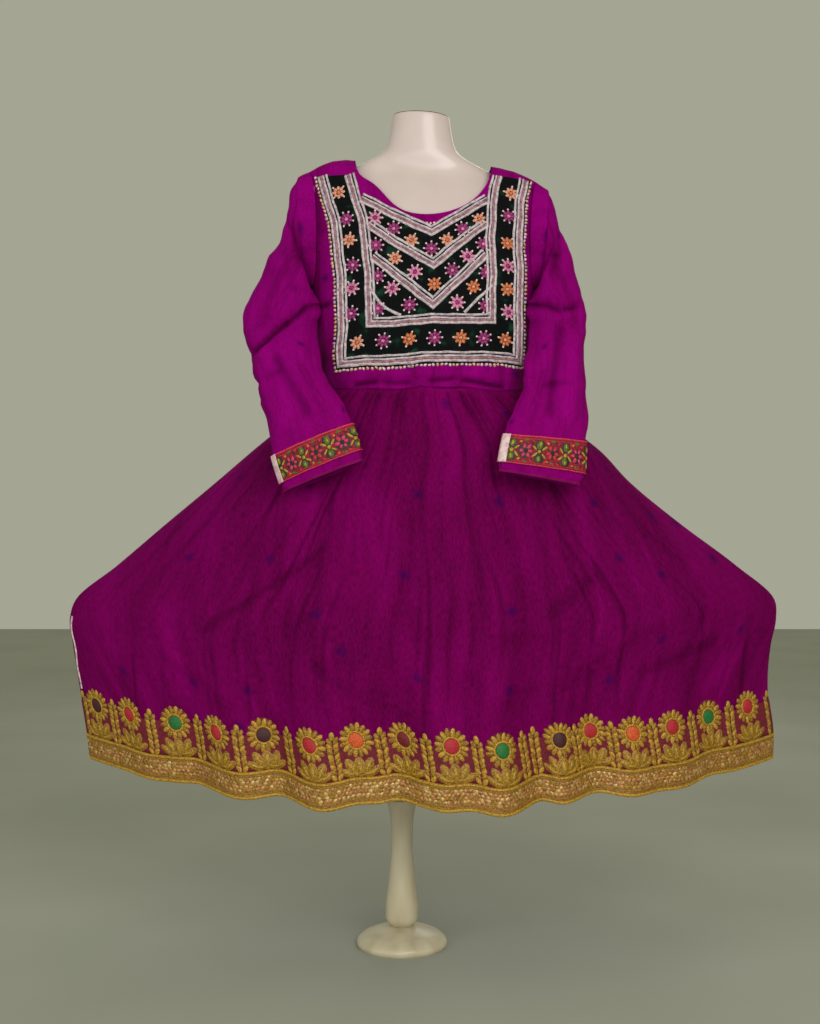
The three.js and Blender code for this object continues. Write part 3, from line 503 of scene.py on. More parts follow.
SLEEVE_CREASES = {  # seen from the front: from x, z to x, z, half width, how far out
    -1: thousandths([
        (-316, 1108, -284, 1136, 5, -9.2), (-290, 1132, -246, 1166, 5, -9.2),
        (-252, 1160, -213, 1194, 4.6, -8), (-222, 1190, -192, 1203, 4.4, -6.4),
        (-322, 1130, -226, 1208, 10, 4.4), (-300, 1096, -240, 1140, 9, 3.6),
        (-266, 1390, -236, 1250, 12, 5), (-252, 1372, -222, 1270, 9, -4.6),
        (-290, 1300, -240, 1220, 10, 4.5), (-276, 1260, -226, 1222, 8, -4),
        (-306, 1085, -250, 960, 12, 5), (-272, 1110, -200, 985, 9, -4.6),
        (-230, 1130, -170, 1020, 10, 4.5), (-310, 1050, -255, 1078, 6, -4),
        (-300, 1020, -262, 1034, 5, -3.2)]),
    1: thousandths([
        (190, 1201, 226, 1196, 4.8, -7.8), (222, 1197, 252, 1188, 5, -8.4),
        (250, 1190, 286, 1199, 4.8, -7.8), (200, 1222, 284, 1212, 9, 5.2),
        (205, 1176, 280, 1168, 9, 4.4), (262, 1370, 232, 1250, 11, -5),
        (256, 1390, 268, 1270, 10, 4.8), (240, 1340, 215, 1240, 10, 4.2),
        (284, 1160, 262, 985, 12, 5), (250, 1170, 222, 985, 9, -4.8),
        (205, 1110, 180, 990, 10, 4.4), (210, 1048, 290, 1060, 6, -4),
        (216, 1292, 262, 1300, 6, -3.6)]),
}
SLEEVE_END = 11  # the rows of sections, counted with the armhole as row 0
CUFF_ROWS = (9, 10)  # the rows between which the cuff lies
SLEEVE_CREASE_DEEP = 0.0080  # how deep a crease is where the shade painted into it is darkest


def sleeve_point(along, turn, side, relief=True):
    """The sleeve at a row, and a turn from the inner fold (0) by the front to the outer (pi)."""
    share = turn / np.pi
    in_front = share <= 1
    up = np.where(in_front, share, 2 - share)
    ring_x, ring_z = side_edge(mix(FRONT_SEAM, 1, up), -1, FRONT_SEAM)
    back_x, _ = side_edge(mix(BACK_SEAM, 1, up), 1, BACK_SEAM)
    front_ring = bodice_point(side * ring_x, ring_z, -1)
    back_ring = bodice_point(side * back_x, ring_z, 1)
    armhole = np.where(in_front[..., None], front_ring, back_ring)
    armhole[..., 0] += side * 0.0005
    armhole[..., 2] += 0.0034 * np.clip((UNDERARM_Z + 0.03 - ring_z) / 0.03, 0, 1)
    numbered = [(k + 1, *row) for k, row in enumerate(SLEEVE_SECTIONS[side])]
    x0, y0, z0, x1, y1, z1, depth = read(numbered, np.maximum(along, 1))
    outer = np.stack([x0, y0, z0], -1)
    inner = np.stack([x1, y1, z1], -1)
    half = (inner - outer) / 2
    forward = np.stack([half[..., 1], -half[..., 0], np.zeros_like(x0)], -1)
    forward *= (depth / np.linalg.norm(forward, axis=-1))[..., None]
    forward *= -np.sign(forward[..., 1:2])
    tube = (outer + inner) / 2 + half * np.cos(turn)[..., None] + forward * np.sin(turn)[..., None]
    point = mix(armhole, tube, np.clip(along, 0, 1)[..., None])
    if relief:
        free = smooth(along / 1.5) * (1 - smooth((along - 8.2) / 0.8))
        last = smooth((along - 10.1) / 0.9)
        x, z = point[..., 0], point[..., 2]
        out = creases(x, z, SLEEVE_CREASES[side]) + 0.0018 * crumple(x * 1.5, z, 0.075, 21 + side) \
            + 0.0008 * crumple(x * 1.5, z, 0.030, 31 + side)
        lap = 0.0105 * np.exp(-((turn - 0.5) / 0.25) ** 2)
        lap = lap * smooth((z - 1.165) / 0.025) * smooth((1.252 - z) / 0.020)
        if side > 0:
            lap_low = 0.0085 * np.exp(-((turn - 0.2) / 0.5) ** 2)
            lap = lap + lap_low * smooth((z - 1.040) / 0.022) * smooth((1.125 - z) / 0.030)
        way = forward / depth[..., None] * np.sin(turn)[..., None]
        way += half / np.linalg.norm(half, axis=-1, keepdims=True) * np.cos(turn)[..., None]
        hem_wave = 0.0015 * np.sin(9 * turn + side)
        point = point + way * (out * free + hem_wave * last)[..., None]
        point[..., 0] -= side * lap
    return point


def sleeve(name, side):
    """A sleeve from armhole to hem, as one tube."""
    turn, along = np.meshgrid(np.linspace(0, math.tau, 121)[:-1], np.linspace(0, SLEEVE_END, 167))
    flat = np.stack(np.meshgrid(np.linspace(0, 0.42, 121), np.linspace(0.6, 0, 167)), -1)
    plain = sleeve_point(along, turn, side, relief=False)
    # How deep each point lies in a crease, from 0 to 1, for the shade painted there.
    deep = -creases(plain[..., 0], plain[..., 2], SLEEVE_CREASES[side]) / SLEEVE_CREASE_DEEP
    tube = sheet_of(f"{name}_cloth", sleeve_point(along, turn, side), flat, crepe, CLOTH_THICK,
                    name, flip=side > 0, painted_crease_shade=deep)


sleeve("sleeve_left", -1)
sleeve("sleeve_right", 1)

# Skirt: two wide panels of the same crepe, gathered to the waist seam and joined at the sides.
# It hangs in soft uneven folds, held wide at both sides, and its hem swings lower in the middle.
HEM_Z = 0.355
HEM_DROP = 0.043  # how much lower the hem hangs in the middle than at the sides
RIDGE_DROP = 0.38  # how much lower the hem hangs on a ridge than in a trough, to its depth
SKIRT_CREASE_DEEP = 0.0085  # how deep a crease is where the shade painted into it is darkest
# Rows: side seam's height, side edges, depth in front and behind, and two roundnesses
SKIRT_SECTIONS = thousandths([
    (1046, -192, 192, 128, 105, 2300, 2300), (1020, -224, 224, 140, 112, 2150, 2000),
    (985, -266, 274, 154, 131, 2000, 1750), (940, -321, 334, 170, 149, 1900, 1500),
    (880, -391, 391, 190, 173, 1800, 1350), (800, -487, 488, 211, 197, 1700, 1250),
    (720, -581, 595, 226, 215, 1650, 1200), (655, -660, 668, 235, 227, 1600, 1160),
    (620, -671, 671, 239, 232, 1600, 1150), (570, -665, 661, 244, 237, 1600, 1150),
    (488, -652, 655, 251, 244, 1600, 1150), (403, -638, 665, 257, 250, 1600, 1150),
    (355, -632, 664, 260, 252, 1600, 1150)])
# Folds: place across, half width there, how far out, and how far down each starts
SKIRT_FOLDS = {
    -1: thousandths([
        (-800, 50, 9, 350), (-650, 50, -11, 300), (-530, 60, 14, 150), (-410, 50, -14, 200),
        (-300, 60, 20, 100), (-190, 45, -9, 150), (-90, 60, -26, 50), (40, 45, 8, 100),
        (185, 65, 26, 50), (290, 45, -15, 100), (350, 45, 8, 250), (445, 60, -19, 150),
        (560, 60, 11, 250), (690, 60, 12, 200), (790, 50, -9, 350)]),
    1: thousandths([
        (-760, 60, 12, 300), (-600, 60, -13, 200), (-460, 65, 18, 100), (-300, 60, -18, 150),
        (-130, 70, 22, 50), (30, 60, -24, 50), (190, 65, 17, 100), (330, 55, -15, 200),
        (480, 65, 19, 100), (640, 60, -12, 250), (780, 55, 10, 350)]),
}
GATHERS = 96  # small pleats where each panel is drawn in to the waist
RUNS = 84  # longer uneven ridges and troughs down each panel
SKIRT_CREASES = {  # from place, height to place, height, half width, how far out
    -1: thousandths([
        (-620, 620, -340, 780, 12, -4), (-500, 560, -180, 700, 12, 3.6),
        (-740, 600, -500, 520, 12, 4), (-300, 600, -120, 500, 10, -3.4),
        (300, 660, 560, 740, 12, -3.6), (400, 580, 660, 660, 12, 3.4),
        (580, 560, 820, 600, 12, -3.6), (100, 600, 260, 520, 10, 3.2),
        (-860, 560, -700, 640, 12, 4), (740, 500, 860, 620, 12, 4)]),
    1: thousandths([
        (-600, 600, -360, 760, 12, -3.8), (-480, 550, -220, 660, 12, 3.6),
        (260, 620, 520, 760, 12, -3.6), (440, 560, 700, 640, 12, 3.6),
        (-100, 560, 80, 660, 10, 3), (-800, 580, -620, 660, 12, 3.6)]),
}


def small_gathers(share, down, side):
    """Uneven pleats that leave the waist seam close together and die out downwards."""
    dice = np.random.default_rng(40 + side)
    height = 0
    for k in range(GATHERS):
        at = -0.985 + 1.97 * (k + dice.uniform(-0.2, 1.2)) / GATHERS
        wide = dice.choice([0.005, 0.007, 0.010, 0.014])
        out = dice.choice([-1, -1, 1]) * dice.uniform(0.0008, 0.0042)
        reach = dice.choice([0.06, 0.14, 0.3, 0.6])
        drift = dice.uniform(-0.05, 0.05)
        fades = smooth(down / 0.02) * (1 - smooth((down - 0.2 * reach) / reach))
        here = np.abs(share - at - drift * down) / (wide * (1 + 1.8 * down))
        height = height + out * fades * np.exp(-here ** 2)
    return height


def long_runs(place, down, side):
    """Ridges and sharp troughs of many lengths, leaning a little, that start below the waist."""
    dice = np.random.default_rng(140 + side)
    height = 0
    for k in range(RUNS):
        at = -0.93 + 1.86 * (k + dice.uniform(-0.3, 1.3)) / RUNS
        start, length = dice.uniform(0.03, 0.55), dice.uniform(0.22, 0.60)
        trough = dice.uniform() < 0.6
        wide = dice.uniform(0.0035, 0.0085) if trough else dice.uniform(0.010, 0.022)
        out = -dice.uniform(0.0016, 0.0052) if trough else dice.uniform(0.0020, 0.0045)
        lean, bend = dice.uniform(-0.06, 0.06), dice.uniform(1, 3)
        fades = smooth((down - start) / 0.20) * smooth((start + length - down) / 0.25)
        middle = at + lean * (down - start) + 0.0035 * np.sin(bend * math.tau * down + k)
        height = height + out * fades * np.exp(-((place - middle) / wide) ** 2)
    return height


def across_skirt(share, side_z):
    """How far down the skirt a seam height is, the place across it and the x of a share."""
    down = (WAIST_Z - side_z) / (WAIST_Z - HEM_Z)
    left, right = read(SKIRT_SECTIONS, side_z)[:2]
    even = 0.85 - 0.6 * smooth(down / 0.5)
    place = mix(share, np.sin(np.pi / 2 * share), even)
    return down, place, (left + right) / 2 + place * (right - left) / 2


def fine_relief(share, side_z, side):
    """Pleats, runs and creases over the skirt's large folds, without the loose crumpling."""
    down, place, _ = across_skirt(share, side_z)
    above = smooth((side_z - 0.44) / 0.10)
    return (small_gathers(share, down, side) + long_runs(place, down, side) * mix(0.35, 1, above)
            + creases(place, side_z, SKIRT_CREASES[side]) * smooth((side_z - 0.49) / 0.08))


def skirt_point(share, side_z, side, fine=True):
    """The skirt at a share across (-1 to 1) of the front (side -1) or back, at a seam height."""
    down, place, x = across_skirt(share, side_z)
    front, back, round_a, round_b = read(SKIRT_SECTIONS, side_z)[2:]
    folds = 0
    for at, wide, out, start in SKIRT_FOLDS[side]:
        grown = smooth((down - start) / (1 - start))
        folds = folds + out * grown * np.exp(-((place - at) / wide) ** 2)
    relief = folds
    if fine:
        relief = relief + fine_relief(share, side_z, side)
        loose = smooth(down / 0.2) * smooth((side_z - 0.47) / 0.1)
        relief = relief + 0.0028 * loose * crumple(x, side_z * 0.6, 0.07, 60 + side)
        above = smooth((side_z - 0.44) / 0.10) * smooth(down / 0.05)
        relief = relief + 0.0012 * above * crumple(x, side_z, 0.03, 80 + side)
        under_cuffs = smooth((side_z - 0.78) / 0.06) * (1 - smooth((side_z - 0.98) / 0.02))
        relief = np.where(relief > 0, relief * (1 - 0.75 * under_cuffs * (side < 0)), relief)
    relief = relief * (1 - place ** 8)
    deep = (front if side < 0 else back) * (1 - np.abs(place) ** round_a) ** (1 / round_b)
    drop = HEM_DROP * smooth(down / 0.85) * (1 - np.abs(place) ** 2.4)
    hang = RIDGE_DROP * folds * (1 - place ** 8) * smooth(down)
    z = side_z - drop - hang + waist_wave(x, side_z)
    return np.stack([x, side * np.maximum(deep + relief, 0.0002), z], -1)


# The skirt's copy of the crepe is darker all over than the bodice's and the sleeves'.
skirt_crepe = crepe_cloth("deep_magenta_crepe", [
    (0.28, "380022"), (0.44, "600040"), (0.58, "720052"), (0.76, "90006e")])


def skirt_panel(name, side):
    """Front or back of the skirt, from the hem up to the waist seam."""
    heights = np.concatenate([np.linspace(HEM_Z, 0.90, 70), np.linspace(0.90, WAIST_Z, 43)[1:]])
    share, side_z = np.meshgrid(np.linspace(-1, 1, 421), heights)
    flat = np.stack([share * mix(0.34, 0.80, (WAIST_Z - side_z) / 0.69) + side, side_z], -1)
    # How deep each point lies in a crease, from 0 to 1 and no more than 0.62, for the shade painted
    # there.
    deep = np.minimum(-fine_relief(share, side_z, side) / SKIRT_CREASE_DEEP, 0.62)
    panel = sheet_of(f"{name}_cloth", skirt_point(share, side_z, side), flat, skirt_crepe,
                     CLOTH_THICK, name, flip=side > 0, painted_crease_shade=deep)


skirt_panel("skirt_front", -1)
skirt_panel("skirt_back", 1)

# Chest panel: black cotton with dark green patches, laid on the bodice front and sewn round its
# edge. Couched braids frame it and cross it in three points, each of pale cords beside a pink
# core. Bead flowers lie between them, and loops of small beads finish its outer edge.
PANEL_LEVEL = 0.025  # turns the panel back towards level on the leaning bodice
PANEL_FOOT_Z, PANEL_TOP_Z = 1.088, 1.446
PANEL_EDGES = thousandths([  # height, left and right edge
    (1046, -148, 172), (1088, -157, 184), (1180, -159, 184), (1270, -164, 185), (1350, -171, 188),
    (1400, -186, 191), (1450, -202, 199)])
PANEL_THICK = 0.0014
PANEL_TOP = 0.0004 + PANEL_THICK  # the panel's upper face over the bodice
STRIP_INSET = 0.073  # width of the side strips, braid to braid
STRIP_SHARE = 0.235  # their share of the cloth's columns
MIDDLE_SHARE = 0.88  # how far up its rows the middle between them is cut
OUTER_BRAID_IN, INNER_BRAID_IN = 0.011, 0.062
OUTER_BRAID_Z, INNER_BRAID_Z = 1.099, 1.167
TIP_X_ON_PANEL = 0.016
POINTED_BRAIDS = thousandths([  # height at the sides and at the tip
    (1400, 1331), (1350, 1268), (1290, 1195)])
CORNER_BRAIDS = [  # both ends and how far the middle hangs below the straight line
    ((-0.099, 1.2330), (-0.041, 1.1790), 0.0080), ((0.1230, 1.2290), (0.0720, 1.1790), 0.0005),
]
BRAID_CORDS = thousandths([  # how far from the braid's middle, width, and which finish
    (-8.2, 4.4, "pale"), (-2.2, 4, "pale"), (2, 4.2, "pink"), (6.2, 5, "pale")])
BEAD_STEP = 0.0074  # from bead to bead round the panel's edge
PETALS = 8
CHEST_FLOWERS = thousandths([  # x, z, colour
    (-156, 1413, "peach"), (-141, 1362, "plum"), (-134, 1323, "peach"), (-130, 1276, "plum"),
    (-132, 1234, "rose"), (-132, 1187, "plum"), (163, 1417, "peach"), (158, 1370, "plum"),
    (156, 1314, "orange"), (153, 1269, "rose"), (152, 1225, "orange"), (154, 1183, "rose"),
    (-88, 1362, "rose"), (-53, 1341, "plum"), (-20, 1316, "peach"), (15, 1298, "plum"),
    (45, 1315, "peach"), (73, 1338, "plum"), (103, 1358, "peach"), (-85, 1310, "plum"),
    (-52, 1285, "peach"), (-18, 1256, "rose"), (18, 1231, "orange"), (50, 1257, "plum"),
    (80, 1284, "rose"), (111, 1308, "plum"), (-85, 1253, "plum"), (-58, 1229, "rose"),
    (-26, 1196, "plum"), (-83, 1193, "plum"), (112, 1253, "plum"), (89, 1226, "orange"),
    (60, 1197, "rose"), (112, 1191, "plum"), (-119, 1133, "peach"), (-72, 1134, "plum"),
    (-25, 1134, "orange"), (21, 1133, "plum"), (68, 1133, "orange"), (110, 1132, "plum"),
    (150, 1132, "orange")])


def on_chest(x, z):
    """The bodice front under a place on the chest panel, which is not sewn on quite straight."""
    sway = 0.0016 * np.sin(26 * z + 1.0) + 0.0009 * np.sin(61 * z)
    sag = 0.0018 * np.sin(19 * x + 0.4) + 0.0008 * np.sin(53 * x + 1.0)
    return bodice_point(x + sway, z + sag + PANEL_LEVEL * x, -1)


def laid_points(place, flat):
    """Points of things laid on a surface. flat holds places s, t and a height over them."""
    s, t, lift = flat[:, 0], flat[:, 1], flat[:, 2]
    step = 0.0010
    across = place(s + step, t) - place(s - step, t)
    up = place(s, t + step) - place(s, t - step)
    normal = np.cross(across, up)
    normal /= np.maximum(np.linalg.norm(normal, axis=-1, keepdims=True), 1e-12)
    return place(s, t) + normal * lift[:, None]


def laid_grid(place, s, t, height):
    """A grid of points at a height over a surface, at places s, t."""
    flat = np.stack([s.ravel(), t.ravel(), np.full(s.size, height)], -1)
    return laid_points(place, flat).reshape(*s.shape, 3)


def dab(s, t, long, wide, turn, rise, base, finish, sides=8):
    """A domed oval laid flat: a petal, a leaf, a sequin or a bead."""
    ring = np.linspace(0, math.tau, sides, endpoint=False)
    flat = []
    for share, height in ((1.0, 0.0), (0.74, 0.72)):
        a, b = share * long / 2 * np.cos(ring), share * wide / 2 * np.sin(ring)
        flat.append(np.stack([s + a * math.cos(turn) - b * math.sin(turn),
                              t + a * math.sin(turn) + b * math.cos(turn),
                              np.full(sides, base + height * rise)], -1))
    flat.append(np.array([[s, t, base + rise]]))
    near = np.arange(sides)
    after = (near + 1) % sides
    faces = np.stack([near, after, sides + after, sides + near], -1).tolist()
    faces += [[sides + a, sides + b, 2 * sides] for a, b in zip(near, after)]
    return np.concatenate(flat), faces, finish


def arc_places(points):
    """Distances walked along a line of points."""
    return np.concatenate([[0], np.cumsum(np.linalg.norm(np.diff(points, axis=0), axis=1))])


def steps_along(corners, step):
    """Points along straight runs between corners, a step apart."""
    corners = np.array(corners, float)
    path = [corners[:1]]
    for a, b in zip(corners[:-1], corners[1:]):
        count = max(1, round(np.linalg.norm(b - a) / step))
        path.append(a + (b - a) * (np.arange(1, count + 1) / count)[:, None])
    return np.concatenate(path)


def mitres(path):
    """Directions to the left of a path at each point, long enough to keep its width at corners."""
    way = np.diff(path, axis=0)
    way /= np.linalg.norm(way, axis=1, keepdims=True)
    left = np.stack([-way[:, 1], way[:, 0]], -1)
    before, after = np.vstack([left[:1], left]), np.vstack([left, left[-1:]])
    together = 1 + np.sum(before * after, axis=1, keepdims=True)
    return (before + after) / np.maximum(together, 0.35)


def cord(path, aside, wide, rise, base, finish, uneven=0.0):
    """A round cord couched along a path, moved aside from it, wandering by up to uneven."""
    left = mitres(path)
    walked = arc_places(path) + 37 * aside
    wander = uneven * (0.7 * np.sin(walked * 120) + 0.3 * np.sin(walked * 290 + 1))
    middle = path + left * (aside + wander)[:, None]
    swell = wide * (1 + 160 * uneven * np.sin(walked * 170 + 2))[:, None]
    rows = []
    for across, height in ((-0.5, 0.0), (-0.38, 0.66), (0.0, 1.0), (0.38, 0.66), (0.5, 0.0)):
        flat = middle + left * (across * swell)
        rows.append(np.column_stack([flat, np.full(len(path), base + height * rise)]))
    flat = np.stack(rows, 1).reshape(-1, 3)
    faces = grid_faces(len(path), 5, flip=True).tolist()
    faces += [[4, 3, 2, 1, 0], [5 * (len(path) - 1) + k for k in range(5)]]
    return flat, faces, finish


def embroidery(name, place, stitches, finishes):
    """One piece of everything laid on a surface, in the finishes that it names."""
    order = list(finishes)
    flat, faces, chosen, count = [], [], [], 0
    for points, shape_faces, finish in stitches:
        flat.append(points)
        faces += [[count + k for k in face] for face in shape_faces]
        chosen += [order.index(finish)] * len(shape_faces)
        count += len(points)
    mesh = bpy.data.meshes.new(name)
    mesh.from_pydata(laid_points(place, np.concatenate(flat)).tolist(), [], faces)
    for finish in order:
        mesh.materials.append(finishes[finish])
    mesh.polygons.foreach_set("material_index", chosen)
    mesh.polygons.foreach_set("use_smooth", [True] * len(faces))
    piece = bpy.data.objects.new(name, mesh)
    bpy.context.collection.objects.link(piece)
    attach(piece, "root")
    return piece


def thread(name, dark, bright, roughness=0.6, fine=420, **sockets):
    """Embroidery thread or cord: fine strands of two tones, with a soft shine."""
    material = new_material(name, bright, roughness, **sockets)
    strands = noise(material, fine, 3, 0.6)
    paint(material, strands, [(0.36, dark), (0.58, bright)])
    bump(material, strands, 0.6, 0.0008)
    return material


black_cotton = new_material("black_cotton", "141a18", 0.85, Specular_IOR_Level=0.12)
paint(black_cotton, noise(black_cotton, 42, 1.5, kind="UV"),
      [(0.50, "06080a"), (0.60, "08120f"), (0.68, "0c2e22"), (0.80, "164032")])
bump(black_cotton, noise(black_cotton, 900, kind="UV"), 0.4, 0.0006)

chest_finishes = {
    "pale": thread("pale_cord", "a0909a", "d2c6cc", 0.65, 160),
    "pink": thread("pink_core", "7c4a58", "ac7c88", 0.65, 160),
    "peach": thread("peach_thread", "b8684e", "e4a48c", 0.5),
    "orange": thread("orange_thread", "b04a20", "d8804c", 0.5),
    "rose": thread("rose_thread", "b04a80", "e090b4", 0.5),
    "plum": thread("plum_thread", "6a0a50", "a02878", 0.5),
    "bead": thread("pale_bead", "c8a4a4", "f0dcd8", 0.35, 200, Coat_Weight=0.3),
    "gold": thread("gold_bead", "a88858", "e6cc9c", 0.35, 200, Coat_Weight=0.3),
}


def panel_edge(z, side):
    left, right = read(PANEL_EDGES, z)
    return left if side < 0 else right


def frame_path(inset, foot_z):
    """A braid down one side of the panel, along its foot and up the other side."""
    down = np.linspace(PANEL_TOP_Z, foot_z, 40)
    left = np.column_stack([panel_edge(down, -1) + inset, down])
    right = np.column_stack([panel_edge(down[::-1], 1) - inset, down[::-1]])
    foot = steps_along([left[-1], right[0]], 0.005)
    return np.vstack([left, foot[1:-1], right])


def pointed_height(x, side_z, tip_z, left, right):
    """Height over x of a line that runs from both sides down to a tip in the middle."""
    reach = np.where(x < TIP_X_ON_PANEL, TIP_X_ON_PANEL - left, right - TIP_X_ON_PANEL)
    return tip_z + (side_z - tip_z) * np.minimum(1, np.abs(x - TIP_X_ON_PANEL) / reach)


# The cloth: side strips up to the shoulders, and a middle cut to the topmost pointed braid
share, rise = np.meshgrid(np.linspace(0, 1, 93), np.linspace(0, 1, 101))
z_line = mix(PANEL_FOOT_Z, PANEL_TOP_Z, rise)
left_line, right_line = panel_edge(z_line, -1), panel_edge(z_line, 1)
x = np.where(share < STRIP_SHARE, left_line + STRIP_INSET * share / STRIP_SHARE, np.where(
    share > 1 - STRIP_SHARE, right_line - STRIP_INSET * (1 - share) / STRIP_SHARE,
    mix(left_line + STRIP_INSET, right_line - STRIP_INSET,
        (share - STRIP_SHARE) / (1 - 2 * STRIP_SHARE))))
in_middle = (share > STRIP_SHARE) & (share < 1 - STRIP_SHARE)
neck_line = pointed_height(x, *[z + 0.009 for z in POINTED_BRAIDS[0]], -0.113, 0.118)
z = np.where(in_middle, np.minimum(
    z_line, mix(PANEL_FOOT_Z, neck_line, np.minimum(1, rise / MIDDLE_SHARE))), z_line)
cut_away = (in_middle[:-1, :-1] | in_middle[:-1, 1:]) & (rise[:-1, :-1] >= MIDDLE_SHARE)
panel = sheet_of("chest_panel_cloth", laid_grid(on_chest, x, z, PANEL_TOP), np.stack([x, z], -1),
                 black_cotton, PANEL_THICK, "chest_panel", keep=~cut_away)

base = PANEL_TOP - 0.0003
stitches = []
paths = [frame_path(OUTER_BRAID_IN, OUTER_BRAID_Z), frame_path(INNER_BRAID_IN, INNER_BRAID_Z)]
for side_z, tip_z in POINTED_BRAIDS:
    ends = [panel_edge(side_z, -1) + STRIP_INSET, panel_edge(side_z, 1) - STRIP_INSET]
    paths.append(steps_along(
        [(ends[0], side_z), (TIP_X_ON_PANEL, tip_z), (ends[1], side_z)], 0.005))
for path in paths:
    for aside, wide, finish in BRAID_CORDS:
        stitches.append(cord(path, -aside, wide, 0.0024, base, finish, 0.0006))
for start, end, sag in CORNER_BRAIDS:
    share = np.linspace(0, 1, 16)[:, None]
    path = mix(np.array(start), np.array(end), share) - (0.4, 1) * (4 * sag * share * (1 - share))
    stitches.append(cord(path, 0, 0.0054, 0.0024, base, "pale", 0.0005))
dice = np.random.default_rng(11)
for x, z, finish in CHEST_FLOWERS:
    start = dice.uniform(0, 1)
    for k in range(PETALS):
        turn = math.tau * (k + start) / PETALS
        s, t = math.cos(turn), math.sin(turn)
        grow = dice.uniform(0.9, 1.1)
        stitches.append(dab(x + 0.0080 * s, z + 0.0080 * t, 0.0096 * grow, 0.0062, turn, 0.0016,
                            base, finish))
        if finish in ("plum", "rose") or k % 2:
            stitches.append(dab(x + 0.0134 * s, z + 0.0134 * t, 0.0046, 0.0040, turn, 0.0018,
                                base, "bead", 6))
    heart = {"peach": "orange", "orange": "peach", "rose": "plum", "plum": "rose"}[finish]
    stitches.append(dab(x, z, 0.0074, 0.0074, 0, 0.0024, base, heart))
edge = frame_path(-0.0022, PANEL_FOOT_Z - 0.0022)
walked = arc_places(edge)
for far in np.arange(0.003, walked[-1], BEAD_STEP):
    x, z = (np.interp(far, walked, edge[:, axis]) for axis in (0, 1))
    x, z = np.array([x, z]) + dice.uniform(-0.0009, 0.0009, 2)
    stitches.append(dab(x, z, dice.uniform(0.0062, 0.0082), 0.0052, dice.uniform(0, 3), 0.0030, 0.0,
                        str(dice.choice(["gold", "bead", "gold", "pale"])), 6))
for k in range(-2, 3):
    stitches.append(dab(TIP_X_ON_PANEL - 0.002 + 0.007 * k, 1.3475 + 0.001 * abs(k),
                        0.0052, 0.0044, 0, 0.0026, 0.0002, "bead", 6))
chest_work = embroidery("chest_embroidery", on_chest, stitches, chest_finishes)

# Cuffs: a red cotton band round each sleeve near its end, embroidered with leaves and flowers,
# piped at both edges. A pale binding closes it, at its end on the viewer's left.
CUFF_THICK = 0.0018
CUFF_TOP = 0.0004 + CUFF_THICK  # the band's upper face over the sleeve
BINDING_WIDE, BINDING_THICK = 0.013, 0.0008
BINDING_TOP = CUFF_TOP + 0.0026
BINDING_START = {-1: 0.0052, 1: 0.0022}
MOTIF_WIDE = 0.052  # a leaf motif and a flower together, along the band

red_cotton = thread("red_cotton", "5e001e", "980230", 0.8, 260)
binding_cloth = thread("pale_binding", "cca2aa", "e8cacc", 0.75, 120)
cuff_finishes = {
    "piping": thread("pink_piping", "a8143a", "dc3c50", 0.6),
    "green": thread("green_thread", "283606", "626c10", 0.6),
    "yellow": thread("yellow_thread", "7c6808", "b8a81a", 0.6),
    "orange": thread("flame_thread", "a01020", "cc2834", 0.6),
    "hem": thread("sleeve_hem_piping", "6c0430", "b0184c", 0.65),
    "rose": thread("cuff_rose_thread", "a8103c", "dc3864", 0.6),
    "black": thread("black_thread", "0e0608", "2c1018", 0.6),
}


